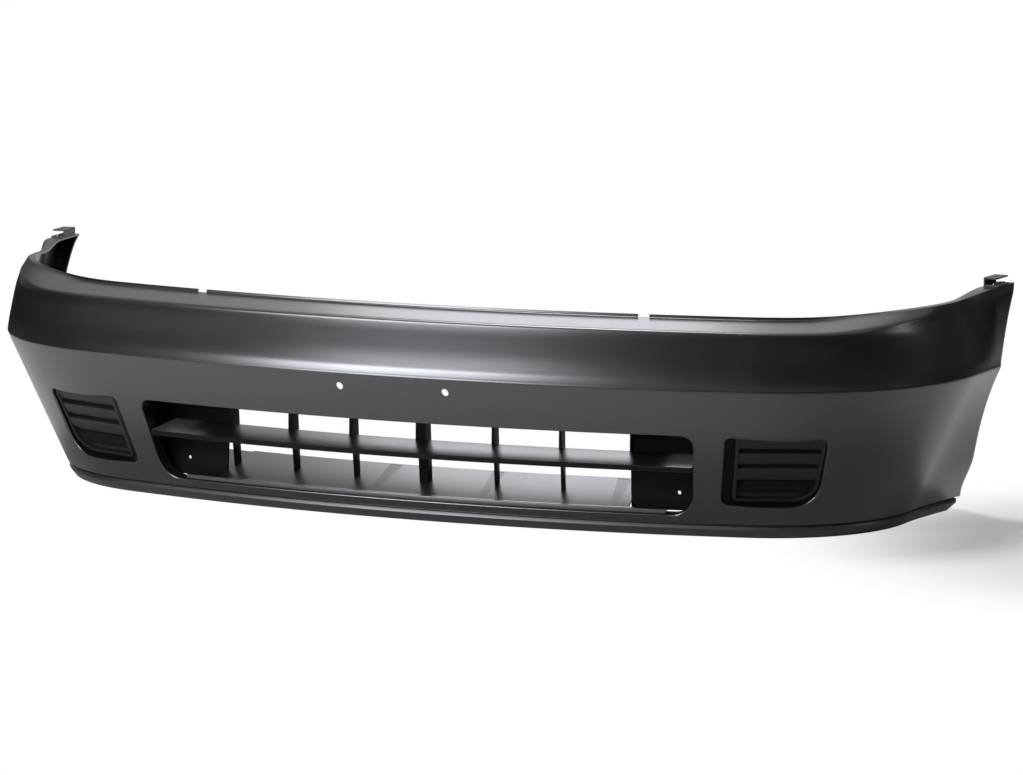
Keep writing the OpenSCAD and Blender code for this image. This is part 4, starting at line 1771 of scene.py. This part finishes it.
@dataclass
class LampBlank:
    """A louvred blank in a lamp recess: a rimmed tray, four slats and two pegs behind."""

    lamp: LampFrame
    gap: float = 0.0008
    seat: float = 0.003
    rim: float = 0.006
    rim_round: float = 0.0009
    rim_angle: float = 1.0
    pan: float = 0.010
    back_rim: float = 0.003
    back_sink: float = 0.003
    slats: int = 4
    slat_pitch: float = 0.0275
    slat_top: float = 0.043
    slat_half: float = 0.1
    slat_set_back: float = 0.002
    slat_rear: float = 0.009
    slat_lean: float = 0.001
    low_slat_lean: float = -0.004
    slat_foot: float = -0.0062
    slat_heads: Pair = (0.013, 0.015)
    slat_round: float = 0.0022
    slat_round_steps: int = 4
    slat_bite: float = 0.0006
    peg_radius: float = 0.004
    peg_root: float = 0.008
    peg_reach: float = 0.010
    peg_tip: float = 0.0015
    peg_tip_cut: float = 0.0005
    peg_steps: int = 32

    def tray(self, bm: BMesh) -> None:
        """Adds the rimmed tray, hollow behind.

        Args:
            bm: The mesh to add to.
        """
        points = self.lamp.blank_outline.grown(-self.gap).points()
        front, rear = self.lamp.blank_front, self.lamp.depth - self.seat
        add_prism(bm, [Vector((p.x, front, p.y)) for p in points], (0, rear - front, 0))
        for cap in [f for f in bm.faces if len(f.verts) == len(points)]:
            width, sink = self.rim, self.lamp.depth - self.pan - front
            if cap.calc_center_median().y > (front + rear) / 2:
                width, sink = self.back_rim, -self.back_sink
            bmesh.ops.inset_region(bm, faces=[cap], thickness=width, use_even_offset=True)
            ring = bmesh.ops.extrude_face_region(bm, geom=[cap])["geom"]
            bmesh.ops.translate(bm, verts=only(BMVert, ring), vec=(0, sink, 0))
            bmesh.ops.delete(bm, geom=[cap], context="FACES_ONLY")
        sharp = [e for e in bm.edges if len(e.link_faces) == 2 and e.calc_face_angle(0) > self.rim_angle]
        round_edges(bm, sharp, self.rim_round, clamped=True)

    def slat(self, z: float, lean: float) -> BMesh:
        """One slat, cut to the outline inside the rim.

        Args:
            z: Its height.
            lean: How far its face leans forward.

        Returns:
            Its mesh.
        """
        face, rear = self.lamp.blank_front + self.slat_set_back, self.lamp.depth - self.slat_rear
        front_head, rear_head = self.slat_heads
        corners = ((face, self.slat_foot), (face - lean, front_head),
                   (rear, rear_head), (rear, self.slat_foot))
        shape = softened(corners, self.slat_round, self.slat_round_steps)
        bm = bmesh.new()
        add_prism(bm, [Vector((-self.slat_half, y, z + up)) for y, up in shape], (2 * self.slat_half, 0, 0))
        ring = self.lamp.blank_outline.grown(-self.gap - self.rim + self.slat_bite).points()
        for i, a in enumerate(ring):
            run = ring[(i + 1) % len(ring)] - a
            if run.length >= WELD:
                trim(bm, (a.x, 0, a.y), (run.y, 0, -run.x))
        bmesh.ops.recalc_face_normals(bm, faces=bm.faces[:])
        return bm

    def pegs(self, bm: BMesh) -> None:
        """Adds the two pegs with rounded tips.

        Args:
            bm: The mesh to add to.
        """
        start, end = self.lamp.depth - self.peg_root, self.lamp.depth + self.peg_reach
        r, tip, cut = self.peg_radius, self.peg_tip, self.peg_tip_cut
        profile = ((0.0, start), (r, start), (r, end - tip), (r - cut, end - cut), (r - tip, end), (0.0, end))
        for px, pz in self.lamp.pegs:
            verts = [bm.verts.new((px + d, y, pz)) for d, y in profile]
            edges = [bm.edges.new(pair) for pair in zip(verts, verts[1:])]
            bmesh.ops.spin(bm, geom=edges, cent=(px, 0, pz), axis=(0, 1, 0), angle=2 * math.pi,
                           steps=self.peg_steps, use_merge=True)
            bmesh.ops.remove_doubles(bm, verts=bm.verts[:], dist=WELD)

    def build(self, side: Side) -> None:
        """Makes the blank of one side and dresses it; its lowest slat takes the darker plastic as painted
        shade.

        Args:
            side: The half it belongs to.
        """
        bm = bmesh.new()
        self.tray(bm)
        for i in range(self.slats):
            lowest = i == self.slats - 1
            lean = self.low_slat_lean if lowest else self.slat_lean
            part = self.slat(self.slat_top - self.slat_pitch * i, lean)
            # The lowest slat takes the second slot, darker plastic as painted shade at the bottom of the
            # recess.
            for face in part.faces:
                face.material_index = int(lowest)
            mesh = bpy.data.meshes.new("slat")
            part.to_mesh(mesh)
            part.free()
            bm.from_mesh(mesh)
            bpy.data.meshes.remove(mesh)
        self.pegs(bm)
        bmesh.ops.transform(bm, matrix=self.lamp.matrix, verts=bm.verts[:])
        side.flip(bm, bm.verts)
        bmesh.ops.recalc_face_normals(bm, faces=bm.faces[:])
        obj = as_object(bm, f"lamp_blank_{side.word}", BLANK_FINISH, PAINTED_SHADE_FINISH)
        shade(obj.data, SLIM_SHARP_ANGLE)
        dress(obj, f"blank_{side.word}", f"fog_cover_{side.word}")


@dataclass(frozen=True)
class SmallParts:
    """Fasteners and brackets whose solids already have the right shape and only need a finish."""

    finishes: tuple[tuple[str, Finish], ...] = (
        ("lip_clips", CLIP_FINISH), ("lip_pin", PIN_FINISH), ("grille_screws", STEEL_FINISH),
        ("fog_grommets", RUBBER_FINISH), ("wing_bracket", BRACKET_FINISH), ("bracket_rivets", STEEL_FINISH),
        ("arch_nuts", STEEL_FINISH))

    def dress(self, nodes: dict[str, Object]) -> None:
        """Gives each small solid its finish.

        Args:
            nodes: The solids by name.
        """
        for name, node in nodes.items():
            for start, finish in self.finishes:
                if name.startswith(start):
                    node.data.materials.clear()
                    paint(node, finish)
                    LOG.info("%s keeps its solid", name)


@dataclass(frozen=True)
class StudioRoom(Finish):
    """Dim room round the stage: white to the camera, and white behind the cover in its gloss."""

    name: str
    dim: float = 0.08
    dim_tint: Triple = (1.0, 0.88, 0.84)
    back: Pair = (0.40, 0.65)
    side: Pair = (-0.20, 0.10)
    gloss_white: float = 0.7
    ceiling: Pair = (0.45, 0.80)
    ceiling_white: float = 0.45
    left: Pair = (-0.55, -0.37)
    left_share: float = 0.15

    def build(self, graph: Graph) -> None:
        """Builds the finish in an empty tree.

        Args:
            graph: The tree of nodes.
        """
        room = graph.add("Background", Color=(*self.dim_tint, 1.0), Strength=self.dim)
        paper = graph.add("Background", Color=(1.0, 1.0, 1.0, 1.0), Strength=1.0)
        rays = graph.add("LightPath").outputs
        where = graph.add("SeparateXYZ", Vector=graph.place("Generated")).outputs
        behind = graph.product(graph.ramp(where["Y"], self.back, (0.0, self.gloss_white)),
                               graph.ramp(where["X"], self.side, (1.0, 0.0)),
                               graph.ramp(where["X"], self.left, (self.left_share, 1.0)))
        above = graph.ramp(where["Z"], self.ceiling, (0.0, self.ceiling_white))
        gloss = graph.product(rays["Is Glossy Ray"], graph.sum_of("MAXIMUM", behind, above))
        seen = graph.sum_of("MAXIMUM", rays["Is Camera Ray"], gloss)
        shown = graph.blend(seen, room.outputs["Background"], paper.outputs["Background"])
        graph.add("OutputWorld", Surface=shown)


@dataclass(frozen=True)
class PaperFloor(Finish):
    """White paper roll under the cover: lit near it, plain white to the camera further out.

    In the cover's gloss the roll is a strip that runs back from a little in front of it, pale on
    the left and darkened by a painted shade in front on the right, as on a stage lit from the left.
    """

    name: str
    half_width: Pair = (1.5, 2.3)
    front_end: Pair = (-2.0, -1.2)
    shade: Pair = (0.90, 1.60)
    shade_slope: float = -1.5
    shade_tone: float = 0.50
    white_start: Pair = (-0.1, 1.2)
    white_half: Pair = (1.1, 1.6)
    shadow_place: Triple = (1.15, 0.05, 0.0)
    haze_radius: Pair = (0.25, 0.62)
    haze: Pair = (0.25, 1.0)
    tone: float = 0.88
    dark: float = 0.02

    def build(self, graph: Graph) -> None:
        """Builds the finish in an empty tree.

        Args:
            graph: The tree of nodes.
        """
        place = graph.place("Object")
        split = graph.add("SeparateXYZ", Vector=place).outputs
        x, y = split["X"], split["Y"]
        rays = graph.add("LightPath").outputs
        aside = graph.sum_of("ABSOLUTE", x)
        slant = graph.sum_of("MULTIPLY_ADD", y, self.shade_slope, x)
        # The paper's tone carries a painted shade in front on the right, seen only in gloss and bounce.
        paper = graph.product(graph.ramp(aside, self.half_width, (self.tone, self.dark)),
                              graph.ramp(y, self.front_end, (self.dark, 1.0)),
                              graph.ramp(slant, self.shade, (1.0, self.shade_tone)))
        lit = graph.add("BsdfDiffuse", Color=paper).outputs["BSDF"]
        plain = graph.add("BsdfDiffuse", Color=(self.tone, self.tone, self.tone, 1.0)).outputs["BSDF"]
        white = graph.add("Emission", Strength=1.0).outputs["Emission"]
        gloss = graph.product(graph.ramp(y, self.white_start, (0.0, 1.0)),
                              graph.ramp(aside, self.white_half, (1.0, 0.0)), rays["Is Glossy Ray"])
        far = graph.sum_of("DISTANCE", place, self.shadow_place, kind="VectorMath")
        shown = graph.blend(graph.ramp(far, self.haze_radius, self.haze), plain, white)
        other = graph.blend(gloss, lit, white)
        graph.add("OutputMaterial", Surface=graph.blend(rays["Is Camera Ray"], other, shown))


@dataclass(frozen=True)
class SoftBox:
    """One rectangular soft light: where it hangs, the point it faces, its size and its watts."""

    name: str
    place: Triple
    aim: Triple
    size: Pair
    power: float
    tint: Triple = (1.0, 1.0, 1.0)

    def hang(self) -> None:
        """Adds the light to the scene."""
        data = bpy.data.lights.new(self.name, "AREA")
        data.color = self.tint
        data.shape, data.size, data.size_y, data.energy = "RECTANGLE", *self.size, self.power
        obj = bpy.data.objects.new(self.name, data)
        bpy.context.scene.collection.objects.link(obj)
        obj.matrix_world = aimed(self.place, Vector(self.aim) - Vector(self.place), "-Z")


COOL = (0.90, 0.925, 1.0)
FRONT_AIM = (0.05, -0.29, 0.25)


@dataclass
class Studio:
    """Camera, pale floor and soft light."""

    path: CoverPath
    azimuth: float = math.radians(20.59)
    elevation: float = math.radians(8.0)
    roll: float = math.radians(0.53)
    eye: Triple = (2.3505, -5.7143, 1.1438)
    focal_pixels: float = 4000.0
    image: tuple[int, int] = (1023, 775)
    axis_row: float = 359.0
    sensor: float = 36.0
    clip: Pair = (0.1, 200.0)
    floor_radius: float = 60.0
    floor_sides: int = 96
    boxes: tuple[SoftBox, ...] = (
        SoftBox("key_box", (-1.16, -2.99, 1.57), FRONT_AIM, (1.6, 0.7), 70.0, COOL),
        SoftBox("fill_box", (-0.90, -3.22, 0.52), FRONT_AIM, (1.4, 0.6), 17.5, COOL),
        SoftBox("top_box", (-0.45, 0.25, 3.00), (-0.1, -0.1, 0.3), (1.2, 1.0), 60.0),
        SoftBox("rear_box", (-0.98, 2.80, 2.00), (-0.2, -0.2, 0.1), (1.0, 1.5), 12.0, COOL),
        SoftBox("side_box", (3.25, 0.55, 1.30), (0.85, -0.1, 0.3), (0.4, 0.4), 2.0))

    def camera(self) -> None:
        """Makes the camera at the place solved from the photograph."""
        data = bpy.data.cameras.new("camera")
        data.sensor_width = self.sensor
        data.lens = self.focal_pixels * self.sensor / self.image[0]
        data.shift_y = (self.axis_row - self.image[1] / 2) / self.image[0]
        data.clip_start, data.clip_end = self.clip
        cam = bpy.data.objects.new("camera", data)
        bpy.context.scene.collection.objects.link(cam)
        a, e = self.azimuth, self.elevation
        back = Vector((math.sin(a) * math.cos(e), -math.cos(a) * math.cos(e), math.sin(e)))
        right = Vector((math.cos(a), math.sin(a), 0))
        up = back.cross(right)
        c, s = math.cos(self.roll), math.sin(self.roll)
        turn = Matrix((right * c + up * s, up * c - right * s, back)).transposed()
        eye = Vector(self.eye) - Vector((0, self.path.depth_offset, 0))
        cam.matrix_world = Matrix.Translation(eye) @ turn.to_4x4()
        bpy.context.scene.camera = cam

    def floor(self) -> None:
        """Lays a pale paper sweep on a wide floor that stays white to the camera."""
        bm = bmesh.new()
        bmesh.ops.create_circle(bm, cap_ends=True, segments=self.floor_sides, radius=self.floor_radius)
        as_object(bm, "floor", PaperFloor("paper_floor"))

    def world(self) -> None:
        """Hangs a dim room that is white to the camera and behind the cover."""
        world = bpy.data.worlds.new("room")
        world.use_nodes = True
        StudioRoom("room").fill(world.node_tree)
        bpy.context.scene.world = world

    def build(self) -> None:
        """Makes the whole studio."""
        bpy.context.scene.view_settings.view_transform = "Standard"
        self.camera()
        self.floor()
        self.world()
        for box in self.boxes:
            box.hang()


def main() -> None:
    """Builds every piece in order, then the studio round it."""
    logging.basicConfig(level=logging.INFO, format="%(name)s: %(message)s")
    path = CoverPath()
    section = SkinSection(path)
    lamp = LampFrame(path, section)
    fasteners = FastenerPlaces(path)
    insert = GrilleInsert(path)
    SkinShell(path, section, lamp).build(fasteners)
    LowerLip(path, section).build(fasteners)
    insert.build(fasteners)
    for side in Side:
        GrilleBlank(path, insert).build(side)
        LampBlank(lamp).build(side)
    SmallParts().dress(frame["nodes"])
    Studio(path).build()


if __name__ == "__main__":
    main()
